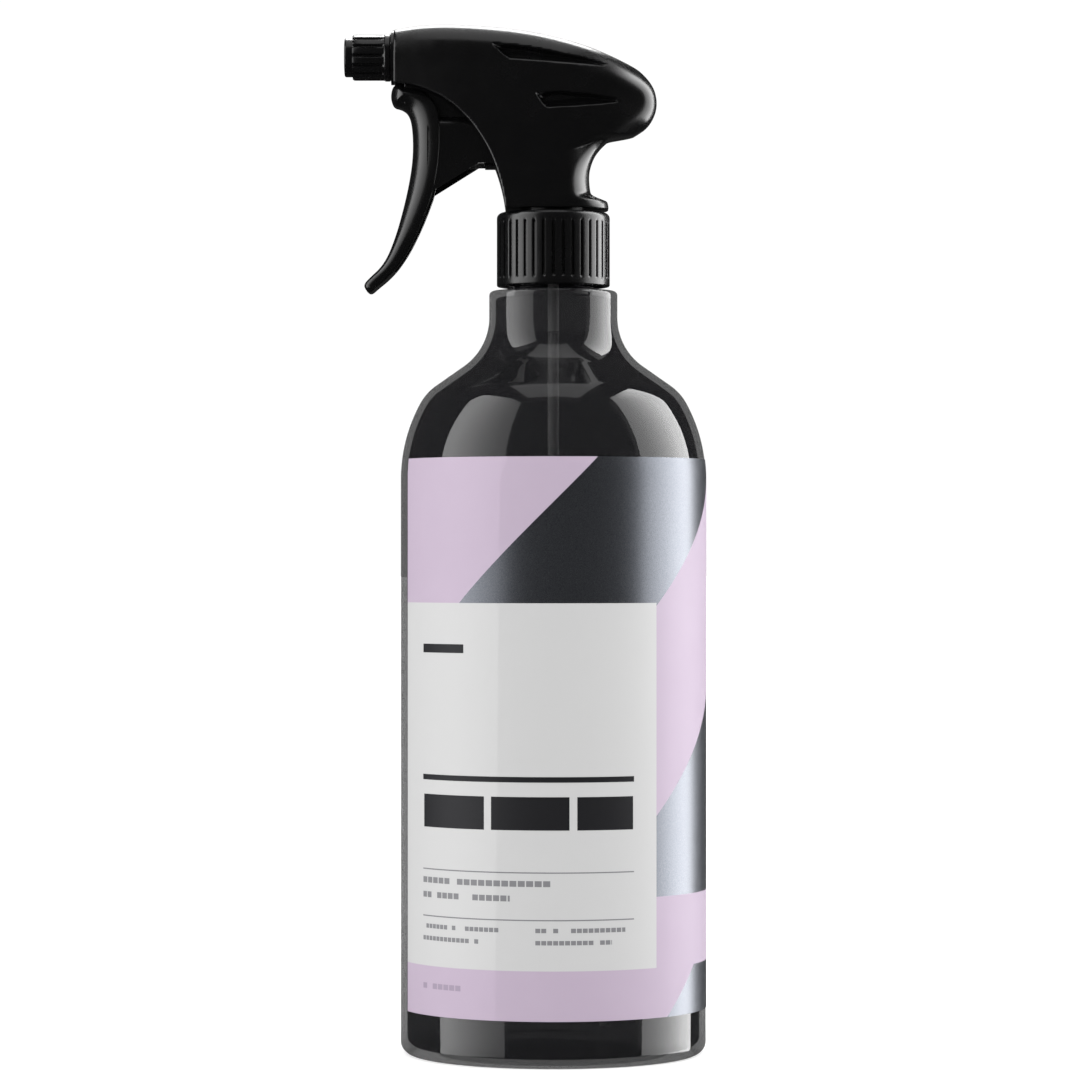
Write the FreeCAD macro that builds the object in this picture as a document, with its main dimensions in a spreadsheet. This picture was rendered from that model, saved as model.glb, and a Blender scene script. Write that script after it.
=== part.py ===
import FreeCAD, Part
import math
import os
import Sketcher

# One-litre trigger spray bottle, in millimetres. The origin is the middle of the base, +Z is up along
# the bottle's axis, the nozzle points to -X and the front of the label faces -Y.

Vector = FreeCAD.Vector
Placement = FreeCAD.Placement
Rotation = FreeCAD.Rotation
doc = FreeCAD.newDocument("spray_bottle")

DIMENSIONS = {
    # bottle
    "bottle_radius": 42.5, "wall": 1, "base_corner": 3.4, "base_ring": 32, "base_rise": 4,
    "floor_thickness": 2.4, "shoulder_start": 160, "shoulder_radius": 44, "shoulder_tuck": 14.6,
    "neck_flare": 16.7, "neck_flare_level": 205.1, "neck_radius": 17.87, "neck_round": 1.2,
    "shelf_level": 212.4, "finish_radius": 12.6, "finish_bore": 10.85, "lip_level": 230.4,
    # thread shared by the bottle and the closure
    "thread_pitch": 3.175, "thread_turns": 1.5, "thread_level": 219, "thread_crest": 13.7,
    "thread_foot": 0.9, "thread_tip": 0.4, "closure_bore": 14.2, "closure_crest": 13,
    # label and liquid
    "label_bottom": 13.1, "label_top": 165.4, "label_film": 0.15, "label_wrap": 325, "label_edge": -160.5,
    "liquid_level": 200.5, "liquid_gap": 0.05, "liquid_bore": 3.2,
    # closure
    "closure_radius": 15.75, "closure_bottom": 213.6, "closure_top": 234.2, "closure_roof": 1.4,
    "closure_round": 1.5, "closure_hole": 9.2, "rib_count": 32, "rib_gap": 0.7, "rib_depth": 0.6,
    "rib_bottom": 215.8, "rib_top": 231.2,
    # dip tube and inlet valve
    "tube_radius": 1.55, "tube_bore": 1.05, "tube_top": 229, "tube_bend_level": 150, "tube_bend": 708,
    "tube_bend_angle": 11.6, "retainer_radius": 4, "retainer_bottom": 217.5, "retainer_top": 231,
    "ball_radius": 2, "ball_chamber": 2.3, "ball_chamber_top": 237, "ball_rest": 232.75,
    # pump body
    "gasket_thickness": 1.2, "flange_radius": 12.8, "flange_thickness": 1.1, "stem_radius": 8.9,
    "stem_top": 236.5, "plug_radius": 10.6, "plug_bore": 9.4, "plug_bottom": 222, "boss_radius": 6.2,
    "boss_bottom": 219, "web_bottom": 229.6, "riser_radius": 4.6, "channel": 1.3,
    "barrel_level": 277.55, "barrel_radius": 5, "barrel_step": -7,
    "barrel_rear": 2, "barrel_rear_radius": 3.4, "barrel_channel": 1.6,
    "collar_front": -45.2, "collar_rear": -44.4, "collar_radius": 7.6, "snout_radius": 4.3,
    "snout_front": -53, "snout_bore": 2.8, "valve_seat": -38,
    "cylinder_level": 254.5, "cylinder_radius": 8.2, "cylinder_bore": 7, "cylinder_mouth": -19,
    "cylinder_floor": -4.5, "cylinder_rear": -2.5, "pivot_x": -38, "pivot_z": 271,
    "knuckle_radius": 3.2, "knuckle_half": 5.1, "pin_radius": 1.5, "pin_clearance": 0.08,
    # shroud
    "shroud_half_width": 12.4, "shroud_nose_half_width": 8.4, "shroud_wall": 1.3,
    "shroud_front": -44.4, "shroud_bottom": 234.9, "shroud_floor": 236.5, "shroud_hole": 9,
    "scoop_depth": 0.8,
    # trigger
    "blade_half_width": 9, "blade_tip_half_width": 6.6, "wing_inner": 8.6, "wing_outer": 9.7,
    "ear_foot": 264,
    "ear_inner": 5.4, "ear_outer": 6.9, "ear_radius": 3.4, "pin_inner": 1.5, "knuckle_room": 3.9,
    "pusher_x": -32.8, "pusher_radius": 2, "pusher_half": 6,
    # piston and its spring
    "piston_end": -30.6, "button_radius": 4, "button_length": 1.6, "rod_radius": 3, "head_start": -24,
    "head_end": -14.5, "head_radius": 6.3, "pocket_radius": 5.3, "pocket_floor": -22.4,
    "seal_start": -17.6, "seal_end": -15.4, "seal_root": 5.8, "seal_radius": 6.95,
    "spring_coil": 4.6, "spring_wire": 0.4, "spring_turns": 8,
    # outlet valve, swirl insert and nozzle
    "poppet_radius": 2.3, "poppet_length": 1.5, "poppet_pin": 0.9, "poppet_pin_length": 2.4,
    "valve_spring_coil": 1.75, "valve_spring_wire": 0.25, "valve_spring_turns": 7,
    "swirl_rear": -48, "swirl_radius": 2.75, "swirl_slots": 3, "swirl_slot": 0.8,
    "nozzle_front": -58.2, "nozzle_ring": -56, "nozzle_ring_radius": 5.4, "nozzle_radius": 6.05,
    "nozzle_flange": -47, "nozzle_flange_radius": 6.6, "nozzle_rear": -45.4, "nozzle_bore": 4.4,
    "nozzle_floor": -54, "orifice": 0.4, "nozzle_cup": 3, "nozzle_cup_depth": 1.3,
    "nozzle_ribs": 14, "nozzle_rib_gap": 0.8, "nozzle_rib_depth": 0.55, "washer_thickness": 0.7,
}

sheet = doc.addObject("Spreadsheet::Sheet", "dims")
for row, (alias, value) in enumerate(DIMENSIONS.items(), start=1):
    sheet.set(f"A{row}", alias)
    sheet.set(f"B{row}", str(value))
    sheet.setAlias(f"B{row}", alias)
doc.recompute()


class Size:
    """A number together with the spreadsheet expression that gives it."""

    def __init__(self, value, text):
        self.value = value
        self.text = text

    def combine(self, other, sign, result):
        text = other.text if isinstance(other, Size) else repr(float(other))
        return Size(result, f"({self.text} {sign} {text})")

    def __add__(self, other):
        return self.combine(other, "+", self.value + number(other))

    def __sub__(self, other):
        return self.combine(other, "-", self.value - number(other))

    def __mul__(self, other):
        return self.combine(other, "*", self.value * number(other))

    def __neg__(self):
        return Size(-self.value, f"(0 - {self.text})")


def number(size):
    return size.value if isinstance(size, Size) else float(size)


def dim(alias):
    return Size(float(sheet.get(alias)), f"dims.{alias}")


def bind(item, path, size):
    """Set a property, and tie it to the sheet where the size comes from there."""
    if isinstance(size, Size):
        item.setExpression(path, size.text)
    else:
        setattr(item, path, size)


# ---------------------------------------------------------------- sketches and bodies


def origin_plane(body, role):
    return next(feature for feature in body.Origin.OriginFeatures if feature.Role == role)


def new_body(name):
    body = doc.addObject("PartDesign::Body", name)
    body.Label = name
    return body


def new_sketch(body, name, role, offset=0):
    sketch = body.newObject("Sketcher::SketchObject", name)
    sketch.AttachmentSupport = [(origin_plane(body, role), "")]
    sketch.MapMode = "FlatFace"
    if isinstance(offset, Size):
        sketch.setExpression("AttachmentOffset.Base.z", offset.text)
    return sketch


def pin_point(sketch, geometry, point, x, y):
    """Hold a sketch point at (x, y), tied to the sheet where the coordinate comes from it."""
    for kind, axis, size in (("DistanceX", -2, x), ("DistanceY", -1, y)):
        if abs(number(size)) < 1e-6:
            sketch.addConstraint(Sketcher.Constraint("PointOnObject", geometry, point, axis))
            continue
        index = sketch.addConstraint(Sketcher.Constraint(kind, -1, 1, geometry, point, number(size)))
        if isinstance(size, Size):
            sketch.setExpression(f"Constraints[{index}]", size.text)


def flat(x, y):
    return Vector(number(x), number(y), 0)


def draw(sketch, start, steps, closed=True):
    """Draw from start through steps: (x, y) is a straight run, (xm, ym, x, y) an arc through (xm, ym)."""
    first = sketch.GeometryCount
    here = start
    edges = []
    for step in steps:
        end = step[-2:]
        if len(step) == 2:
            edges.append(sketch.addGeometry(Part.LineSegment(flat(*here), flat(*end))))
        else:
            edges.append(sketch.addGeometry(Part.Arc(flat(*here), flat(*step[:2]), flat(*end))))
        here = end
    corners = [start] + [step[-2:] for step in steps]
    ends = []
    for edge, begin in zip(edges, corners):
        # An arc that runs clockwise is stored the other way round, so its ends swap.
        turned = (sketch.getPoint(edge, 1) - flat(*begin)).Length > 1e-4
        ends.append((2, 1) if turned else (1, 2))
        pin_point(sketch, edge, ends[-1][0], *begin)
    for edge, following in zip(edges, edges[1:]):
        sketch.addConstraint(Sketcher.Constraint(
            "Coincident", edge, ends[edge - first][1], following, ends[following - first][0]))
    if closed:
        sketch.addConstraint(Sketcher.Constraint(
            "Coincident", edges[-1], ends[-1][1], edges[0], ends[0][0]))
    else:
        pin_point(sketch, edges[-1], ends[-1][1], *corners[-1])
    for edge, step in zip(edges, steps):
        if len(step) == 4:
            middle = sketch.addGeometry(Part.Point(flat(*step[:2])), True)
            pin_point(sketch, middle, 1, *step[:2])
            sketch.addConstraint(Sketcher.Constraint("PointOnObject", middle, 1, edge))


def outline(body, name, role, start, *steps, offset=0):
    """A closed outline. The last step runs back to the start."""
    sketch = new_sketch(body, name, role, offset)
    draw(sketch, start, list(steps) + [start])
    return sketch


def circle(body, name, role, x, y, radius, offset=0):
    sketch = new_sketch(body, name, role, offset)
    edge = sketch.addGeometry(Part.Circle(flat(x, y), Vector(0, 0, 1), number(radius)))
    pin_point(sketch, edge, 3, x, y)
    index = sketch.addConstraint(Sketcher.Constraint("Radius", edge, number(radius)))
    if isinstance(radius, Size):
        sketch.setExpression(f"Constraints[{index}]", radius.text)
    return sketch


def revolve(body, sketch, axis="V_Axis", angle=360):
    turned = body.newObject("PartDesign::Revolution", sketch.Name + "_revolved")
    turned.Profile = sketch
    turned.ReferenceAxis = (sketch, [axis])
    bind(turned, "Angle", angle)
    return turned


def helix(body, sketch, axis, pitch, length):
    wound = body.newObject("PartDesign::AdditiveHelix", sketch.Name + "_wound")
    wound.Profile = sketch
    wound.ReferenceAxis = (sketch, [axis])
    wound.Mode = 0
    bind(wound, "Pitch", pitch)
    bind(wound, "Height", length)
    return wound


def pad(body, sketch, length):
    """A pad of the given whole length, half to each side of the sketch."""
    raised = body.newObject("PartDesign::Pad", sketch.Name + "_pad")
    raised.Profile = sketch
    raised.SideType = "Symmetric"
    bind(raised, "Length", length)
    return raised


def pocket_pattern(body, sketch, depth, count, axis_sketch, axis):
    """Cut a symmetric pocket and repeat it round an axis."""
    cut = body.newObject("PartDesign::Pocket", sketch.Name + "_cut")
    cut.Profile = sketch
    cut.SideType = "Symmetric"
    bind(cut, "Length", depth)
    doc.recompute()
    pattern = body.newObject("PartDesign::PolarPattern", sketch.Name + "_pattern")
    pattern.Originals = [cut]
    pattern.Axis = (axis_sketch, [axis])
    pattern.Angle = 360
    bind(pattern, "Occurrences", count)
    body.Tip = pattern
    return pattern


# ---------------------------------------------------------------- primitives and booleans


TO_X = Rotation(Vector(0, 1, 0), 90)
TO_Y = Rotation(Vector(1, 0, 0), -90)


def move(item, x=0, y=0, z=0, rotation=None):
    if rotation is not None:
        item.Placement = Placement(Vector(0, 0, 0), rotation)
    for path, size in (("x", x), ("y", y), ("z", z)):
        if isinstance(size, Size):
            item.setExpression(f"Placement.Base.{path}", size.text)
        else:
            base = item.Placement.Base
            setattr(base, path, size)
            item.Placement = Placement(base, item.Placement.Rotation)
    return item


def upright(name, radius, bottom, top):
    """A cylinder on the bottle's axis."""
    item = doc.addObject("Part::Cylinder", name)
    bind(item, "Radius", radius)
    bind(item, "Height", top - bottom)
    return move(item, z=bottom)


def along_x(name, radius, start, end, level):
    """A cylinder that lies along X."""
    item = doc.addObject("Part::Cylinder", name)
    bind(item, "Radius", radius)
    bind(item, "Height", end - start)
    return move(item, x=start, z=level, rotation=TO_X)


def along_y(name, radius, start, length, x, z):
    """A cylinder that lies along Y."""
    item = doc.addObject("Part::Cylinder", name)
    bind(item, "Radius", radius)
    bind(item, "Height", length)
    return move(item, x=x, y=start, z=z, rotation=TO_Y)


def block(name, x, y, z, length, width, height):
    item = doc.addObject("Part::Box", name)
    for path, size in (("Length", length), ("Width", width), ("Height", height)):
        bind(item, path, size)
    return move(item, x, y, z)


def join(name, pieces):
    item = doc.addObject("Part::MultiFuse", name)
    item.Shapes = pieces
    item.Label = name
    return item


def cut(name, solid, tool):
    item = doc.addObject("Part::Cut", name)
    item.Base = solid
    item.Tool = tool
    item.Label = name
    return item


# ---------------------------------------------------------------- bottle, label and liquid


TUCK_ANGLE = math.radians(28.5)
FLARE_ANGLE = math.radians(55)


def on_circle(centre, radius, angle):
    """The point of a circle at an angle, as sizes tied to the sheet."""
    return radius * math.cos(angle) + centre[0], radius * math.sin(angle) + centre[1]


def arc_step(centre, radius, begin, end):
    """The step of an outline that follows a circle from one angle to another."""
    return on_circle(centre, radius, (begin + end) / 2) + on_circle(centre, radius, end)


SHOULDER_CENTRE = (dim("bottle_radius") - dim("shoulder_radius"), dim("shoulder_start"))
TUCK_SHIFT = dim("shoulder_radius") - dim("shoulder_tuck")
TUCK_CENTRE = on_circle(SHOULDER_CENTRE, TUCK_SHIFT, TUCK_ANGLE)
FLARE_CENTRE = (dim("neck_radius") + dim("neck_flare"), dim("neck_flare_level"))


def shoulder(inset):
    """The side's outline, a given distance inside the outer skin, from the wall up to the neck."""
    main = dim("shoulder_radius") - inset
    tuck = dim("shoulder_tuck") - inset
    flare = dim("neck_flare") + inset
    return [
        on_circle(SHOULDER_CENTRE, main, 0),
        arc_step(SHOULDER_CENTRE, main, 0, TUCK_ANGLE),
        arc_step(TUCK_CENTRE, tuck, TUCK_ANGLE, FLARE_ANGLE),
        on_circle(FLARE_CENTRE, flare, math.pi + FLARE_ANGLE),
        arc_step(FLARE_CENTRE, flare, math.pi + FLARE_ANGLE, math.pi),
    ]


def reverse(start, steps):
    """The same run of lines and arcs, drawn the other way. Gives its new start and steps."""
    corners = [start] + [step[-2:] for step in steps]
    turned = [step[:-2] + corners[index] for index, step in enumerate(steps)]
    return corners[-1], turned[::-1]


def floor_run(inset):
    """The inner floor, from the axis to the foot of the wall, raised by a given gap."""
    inner = dim("bottle_radius") - dim("wall") - inset
    level = dim("floor_thickness") + inset
    corner = dim("base_corner") - inset
    corner_centre = (inner - corner, level + corner)
    return (0, dim("base_rise") + level), [
        (dim("base_ring"), level),
        (inner - corner, level),
        arc_step(corner_centre, corner, -math.pi / 2, 0),
    ]


def bottle():
    body = new_body("bottle")
    corner = dim("base_corner")
    outer = dim("bottle_radius")
    neck = dim("neck_radius")
    turn = dim("neck_round")
    shelf = dim("shelf_level")
    under_shelf = shelf - dim("wall")
    floor_start, floor = floor_run(0)
    inside = shoulder(dim("wall"))
    back_start, back = reverse(floor_start, floor + inside)
    profile = outline(
        body, "bottle_wall", "XZ_Plane",
        (0, dim("base_rise")),
        (dim("base_ring"), 0),
        (outer - corner, 0),
        arc_step((outer - corner, corner), corner, -math.pi / 2, 0),
        *shoulder(0),
        (neck, shelf - turn),
        arc_step((neck - turn, shelf - turn), turn, 0, math.pi / 2),
        (dim("finish_radius"), shelf),
        (dim("finish_radius"), dim("lip_level")),
        (dim("finish_bore"), dim("lip_level")),
        (dim("finish_bore"), under_shelf),
        (neck - dim("wall"), under_shelf),
        back_start,
        *back)
    revolve(body, profile)
    level = dim("thread_level")
    root = dim("finish_radius") - 0.2
    ridge = outline(
        body, "bottle_thread", "XZ_Plane",
        (root, level - dim("thread_foot")),
        (dim("thread_crest"), level - dim("thread_tip")),
        (dim("thread_crest"), level + dim("thread_tip")),
        (root, level + dim("thread_foot")))
    helix(body, ridge, "V_Axis", dim("thread_pitch"), dim("thread_pitch") * dim("thread_turns"))
    return body


def label():
    body = new_body("label")
    skin = dim("bottle_radius")
    film = dim("label_film")
    on_skin = dim("shoulder_radius")
    outside = on_skin + film
    rise = math.asin(number(dim("label_top") - dim("shoulder_start")) / number(on_skin))
    profile = outline(
        body, "label_film", "XZ_Plane",
        (skin, dim("label_bottom")),
        (skin + film, dim("label_bottom")),
        on_circle(SHOULDER_CENTRE, outside, 0),
        arc_step(SHOULDER_CENTRE, outside, 0, rise),
        on_circle(SHOULDER_CENTRE, on_skin, rise),
        arc_step(SHOULDER_CENTRE, on_skin, rise, 0))
    revolve(body, profile, angle=dim("label_wrap"))
    turn = Rotation(Vector(0, 0, 1), number(dim("label_edge")))
    body.Placement = Placement(Vector(0, 0, 0), turn)
    return body


def tube_path(body, name, top):
    """Straight down from the retainer, then one long bend to the rear of the bottle."""
    sketch = new_sketch(body, name, "XZ_Plane")
    centre = (dim("tube_bend"), dim("tube_bend_level"))
    angle = math.radians(number(dim("tube_bend_angle")))
    bend = arc_step(centre, dim("tube_bend"), math.pi, math.pi + angle)
    draw(sketch, (0, top), [(0, dim("tube_bend_level")), bend], closed=False)
    return sketch


def swept_tube(name, radius, top):
    body = new_body(name)
    profile = circle(body, name + "_ring", "XY_Plane", 0, 0, radius, offset=top)
    path = tube_path(body, name + "_path", top)
    pipe = body.newObject("PartDesign::AdditivePipe", name + "_swept")
    pipe.Profile = profile
    pipe.Spine = (path, [])
    return body


def lubricant_fill():
    gap = dim("liquid_gap")
    inset = dim("wall") + gap
    body = new_body("liquid_bulk")
    floor_start, floor = floor_run(gap)
    run = shoulder(inset)[:-1]
    flare = dim("neck_flare") + inset
    drop = number(dim("neck_flare_level") - dim("liquid_level"))
    level_angle = math.asin(drop / number(flare))
    neck = arc_step(FLARE_CENTRE, flare, math.pi + FLARE_ANGLE, math.pi + level_angle)
    profile = outline(body, "liquid_section", "XZ_Plane",
                      floor_start, *floor, *run, neck, (0, neck[-1]))
    revolve(body, profile)
    room = swept_tube("tube_room", dim("liquid_bore"), dim("tube_top"))
    return cut("lubricant_fill", body, room)


# ---------------------------------------------------------------- closure, gasket and inlet


def closure_cap():
    body = new_body("closure_cap")
    radius = dim("closure_radius")
    top = dim("closure_top")
    turn = dim("closure_round")
    roof = top - dim("closure_roof")
    profile = outline(
        body, "closure_wall", "XZ_Plane",
        (dim("closure_bore"), dim("closure_bottom")),
        (radius, dim("closure_bottom")),
        (radius, top - turn),
        arc_step((radius - turn, top - turn), turn, 0, math.pi / 2),
        (dim("closure_hole"), top),
        (dim("closure_hole"), roof),
        (dim("closure_bore"), roof))
    revolve(body, profile)
    level = dim("thread_level") + dim("thread_pitch") * 0.5
    root = dim("closure_bore") + 0.2
    ridge = outline(
        body, "closure_thread", "XZ_Plane",
        (root, level - dim("thread_foot")),
        (root, level + dim("thread_foot")),
        (dim("closure_crest"), level + dim("thread_tip")),
        (dim("closure_crest"), level - dim("thread_tip")))
    helix(body, ridge, "V_Axis", dim("thread_pitch"), dim("thread_pitch") * dim("thread_turns"))
    doc.recompute()
    groove = outline(
        body, "closure_groove", "XZ_Plane",
        (radius - dim("rib_depth"), dim("rib_bottom")),
        (radius + 1, dim("rib_bottom")),
        (radius + 1, dim("rib_top")),
        (radius - dim("rib_depth"), dim("rib_top")))
    pocket_pattern(body, groove, dim("rib_gap"), dim("rib_count"), groove, "V_Axis")
    return body


def ring(name, inner, outer, bottom, top):
    return cut(name, upright(name + "_disc", outer, bottom, top),
               upright(name + "_hole", inner, bottom - 1, top + 1))


def ring_along_x(name, inner, outer, start, end, level):
    return cut(name, along_x(name + "_disc", outer, start, end, level),
               along_x(name + "_hole", inner, start - 1, end + 1, level))


def neck_gasket():
    bottom = dim("lip_level")
    top = bottom + dim("gasket_thickness")
    return ring("neck_gasket", dim("plug_radius"), dim("flange_radius"), bottom, top)


def tube_retainer():
    bottom = dim("retainer_bottom")
    top = dim("retainer_top")
    bores = join("retainer_bores", [
        upright("retainer_socket", dim("tube_radius"), bottom - 1, dim("tube_top")),
        upright("retainer_seat", dim("tube_bore"), bottom, top + 1)])
    return cut("tube_retainer", upright("retainer_barrel", dim("retainer_radius"), bottom, top), bores)


def dip_tube():
    outer = swept_tube("tube_outer", dim("tube_radius"), dim("tube_top"))
    inner = swept_tube("tube_inner", dim("tube_bore"), dim("tube_top"))
    return cut("dip_tube", outer, inner)


def inlet_ball():
    item = doc.addObject("Part::Sphere", "inlet_ball")
    item.Label = "inlet_ball"
    bind(item, "Radius", dim("ball_radius"))
    return move(item, z=dim("ball_rest"))


# ---------------------------------------------------------------- pump body


def pump_body():
    flange = dim("lip_level") + dim("gasket_thickness")
    stem = flange + dim("flange_thickness")
    barrel = dim("barrel_level")
    cylinder = dim("cylinder_level")
    half = dim("knuckle_half")
    radius = dim("knuckle_radius")
    solids = [
        upright("plug_skirt", dim("plug_radius"), dim("plug_bottom"), flange),
        upright("neck_flange", dim("flange_radius"), flange, stem),
        upright("stem", dim("stem_radius"), flange, dim("stem_top")),
        upright("riser", dim("riser_radius"), flange, barrel),
        along_x("pump_cylinder", dim("cylinder_radius"), dim("cylinder_mouth"), dim("cylinder_rear"),
                cylinder),
        along_x("barrel", dim("barrel_radius"), dim("collar_front"), dim("barrel_step"), barrel),
        along_x("barrel_end", dim("barrel_rear_radius"), dim("barrel_step"), dim("barrel_rear"), barrel),
        along_x("barrel_collar", dim("collar_radius"), dim("collar_front"), dim("collar_rear"), barrel),
        along_x("snout", dim("snout_radius"), dim("snout_front"), dim("collar_front"), barrel),
        along_y("knuckle", radius, -half, half * 2, dim("pivot_x"), dim("pivot_z")),
        block("knuckle_web", dim("pivot_x") - radius, -half, dim("pivot_z"),
              radius * 2, half * 2, barrel - dim("pivot_z")),
    ]
    outside = join("pump_outside", solids)
    skirt_room = cut("skirt_room",
                     upright("skirt_bore", dim("plug_bore"), dim("plug_bottom") - 1, dim("web_bottom")),
                     upright("retainer_boss", dim("boss_radius"), dim("boss_bottom"), flange))
    hollows = [
        skirt_room,
        upright("retainer_bore", dim("retainer_radius"), dim("plug_bottom") - 5, dim("retainer_top")),
        upright("ball_cage", dim("ball_chamber"), dim("retainer_top") - 1, dim("ball_chamber_top")),
        upright("riser_channel", dim("channel"), dim("retainer_top"), barrel),
        along_x("cylinder_room", dim("cylinder_bore"), dim("cylinder_mouth") - 1, dim("cylinder_floor"),
                cylinder),
        along_x("cylinder_port", dim("channel"), dim("cylinder_floor") - 1, dim("channel") * 0.5,
                cylinder),
        along_x("barrel_bore", dim("barrel_channel"), dim("valve_seat") - 1, dim("channel"), barrel),
        along_x("valve_room", dim("snout_bore"), dim("snout_front") - 1, dim("valve_seat"), barrel),
        along_y("pin_socket", dim("pin_radius") + dim("pin_clearance"), -half - 1, half * 2 + 2,
                dim("pivot_x"), dim("pivot_z")),
    ]
    return cut("pump_body", outside, join("pump_hollows", hollows))


# ---------------------------------------------------------------- shroud


def shroud_side(body, name, inset):
    """The head from its side. With an inset it is the room inside, which opens at the front below."""
    front = dim("shroud_front") + inset
    gap = number(inset)
    low = dim("shroud_floor") if gap else dim("shroud_bottom")
    top = [
        (-22, 286.1 - gap, 8, 280.6 - gap),
        (18.9, 276.1 - gap, 27 - gap * 0.7, 271.3 - gap * 0.7),
        (30.2 - gap, 264.9, 27.2 - gap * 0.6, 259 + gap * 0.8),
        (20.4 - gap * 0.5, 254.3 + gap * 0.8, 15.2 - gap, 250 + gap * 0.4),
        (12.7 - gap, 243.3, 14.5 - gap, low),
    ]
    if gap:
        rim = [(-11, low), (-12, 239), (-24, 239), (-42, 264), (front, 266)]
    else:
        rim = [(-13.4, low), (-16.4, 248.5, -24, 260.8), (-33, 267.9, front, 270.5)]
    return outline(body, name, "XZ_Plane", (front, 284.8 - gap), *top, *rim)


def shroud_plan(body, name, inset):
    """The head seen from above."""
    nose = dim("shroud_nose_half_width") - inset
    wide = dim("shroud_half_width") - inset
    front = dim("shroud_front") + inset
    gap = number(inset)
    return outline(
        body, name, "XY_Plane",
        (front, -nose),
        (-27, -wide + 1.1, -5, -wide),
        (12, -wide + 0.8, 24 - gap, -wide + 4.4),
        (31 - gap, 0, 24 - gap, wide - 4.4),
        (12, wide - 0.8, -5, wide),
        (-27, wide - 1.1, front, nose))


def shroud_form(name, inset):
    """The overlap of the side view, pushed through in Y, and the plan, pushed up through Z."""
    side = new_body(name + "_side")
    pad(side, shroud_side(side, name + "_side_outline", inset), dim("shroud_half_width") * 3)
    plan = new_body(name + "_plan")
    pad(plan, shroud_plan(plan, name + "_plan_outline", inset), dim("barrel_level") * 3)
    form = doc.addObject("Part::Common", name)
    form.Base = side
    form.Tool = plan
    return form


def scoop_cutter(name, side, *corners):
    """A shallow wedge let into one side of the head."""
    body = new_body(name)
    sketch = outline(body, name + "_outline", "XZ_Plane", *corners)
    pad(body, sketch, dim("scoop_depth") * 2)
    move(body, y=(dim("shroud_half_width") - 0.1) * side)
    return body


def shroud():
    form = shroud_form("shroud_form", 0)
    room = shroud_form("shroud_room", dim("shroud_wall"))
    barrel_hole = along_x("barrel_hole", dim("barrel_radius"), dim("shroud_front") - 1,
                          dim("shroud_front") + 3, dim("barrel_level"))
    stem_hole = upright("stem_hole", dim("shroud_hole"), dim("shroud_bottom") - 1, dim("shroud_floor") + 1)
    upper = [(-16.7, 281.3), (-12.5, 277.3), (12, 275.8), (14, 276.3)]
    lower = [(-4.6, 267.5), (-2, 263.9), (12, 264.3), (18, 265.6), (5, 268)]
    scoops = [
        scoop_cutter(f"{place}_scoop_{word}", side, *corners)
        for side, word in ((-1, "right"), (1, "left"))
        for place, corners in (("upper", upper), ("lower", lower))]
    return cut("shroud", form, join("shroud_hollows", [room, barrel_hole, stem_hole] + scoops))


# ---------------------------------------------------------------- trigger


def blade():
    side = new_body("blade_side")
    profile = outline(
        side, "blade_outline", "XZ_Plane",
        (-44.2, 268.3),
        (-45.1, 266.4, -44.2, 263.7),
        (-42, 263.2),
        (-40, 261.3, -39.2, 257.5),
        (-39, 249.5, -40.4, 241),
        (-44.2, 226.2, -51.8, 215),
        (-52.3, 213.2, -50.6, 212),
        (-41.9, 220.5, -36.9, 230.5),
        (-35.1, 235.2, -34.4, 240),
        (-34.4, 262.2),
        (-37.1, 266.8, -41, 268.5))
    pad(side, profile, dim("blade_half_width") * 3)
    front = new_body("blade_front")
    wide = dim("blade_half_width")
    tip = dim("blade_tip_half_width")
    face = outline(front, "blade_face", "YZ_Plane",
                   (-wide, 270), (-wide, 246), (-wide + 0.6, 232, -tip, 220), (0, 206, tip, 220),
                   (wide - 0.6, 232, wide, 246), (wide, 270))
    pad(front, face, 120)
    form = doc.addObject("Part::Common", "blade_form")
    form.Base = side
    form.Tool = front
    return form


def wings():
    """Two thin plates behind the blade, which cover the piston."""
    body = new_body("wing_pair")
    profile = outline(body, "wing_outline", "XZ_Plane",
                      (-36, 238.4), (-33, 239.8), (-20.3, 248.2), (-14.5, 248.2), (-14.5, 260.8),
                      (-36, 260.8))
    pad(body, profile, dim("wing_outer") * 2)
    between = block("wing_space", -60, -dim("wing_inner"), 200, 80, dim("wing_inner") * 2, 80)
    return cut("wings", body, between)


def fins():
    """Two plates behind the ears, further in than the wings, which close the gap above the piston."""
    body = new_body("fin_pair")
    profile = outline(body, "fin_outline", "XZ_Plane",
                      (-36, 259.5), (-21, 259.5), (-22.5, 262.5), (-31, 269), (-36, 269))
    pad(body, profile, dim("ear_outer") * 2)
    between = block("fin_space", -60, -dim("ear_inner"), 200, 80, dim("ear_inner") * 2, 80)
    return cut("fins", body, between)


def trigger():
    pivot_x = dim("pivot_x")
    pivot_z = dim("pivot_z")
    half = dim("ear_outer")
    room = dim("ear_inner")
    radius = dim("ear_radius")
    foot = dim("ear_foot")
    ears = join("ear_stock", [
        along_y("ear_knuckle", radius, -half, half * 2, pivot_x, pivot_z),
        block("ear_web", pivot_x - radius, -half, foot, radius * 2, half * 2, pivot_z - foot)])
    knuckle_space = join("knuckle_space", [
        along_y("knuckle_sweep", dim("knuckle_room"), -room, room * 2, pivot_x, pivot_z),
        block("web_sweep", pivot_x - 12, -room, pivot_z, 24, room * 2, 20)])
    stock = join("trigger_stock", [blade(), ears])
    pins = [
        along_y(f"pin_{word}", dim("pin_radius"), start, half - dim("pin_inner"), pivot_x, pivot_z)
        for word, start in (("left", dim("pin_inner")), ("right", -half))]
    pusher = along_y("pusher", dim("pusher_radius"), -dim("pusher_half"), dim("pusher_half") * 2,
                     dim("pusher_x"), dim("cylinder_level"))
    return join("trigger", [cut("trigger_open", stock, knuckle_space), wings(), fins(), pusher] + pins)


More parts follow.
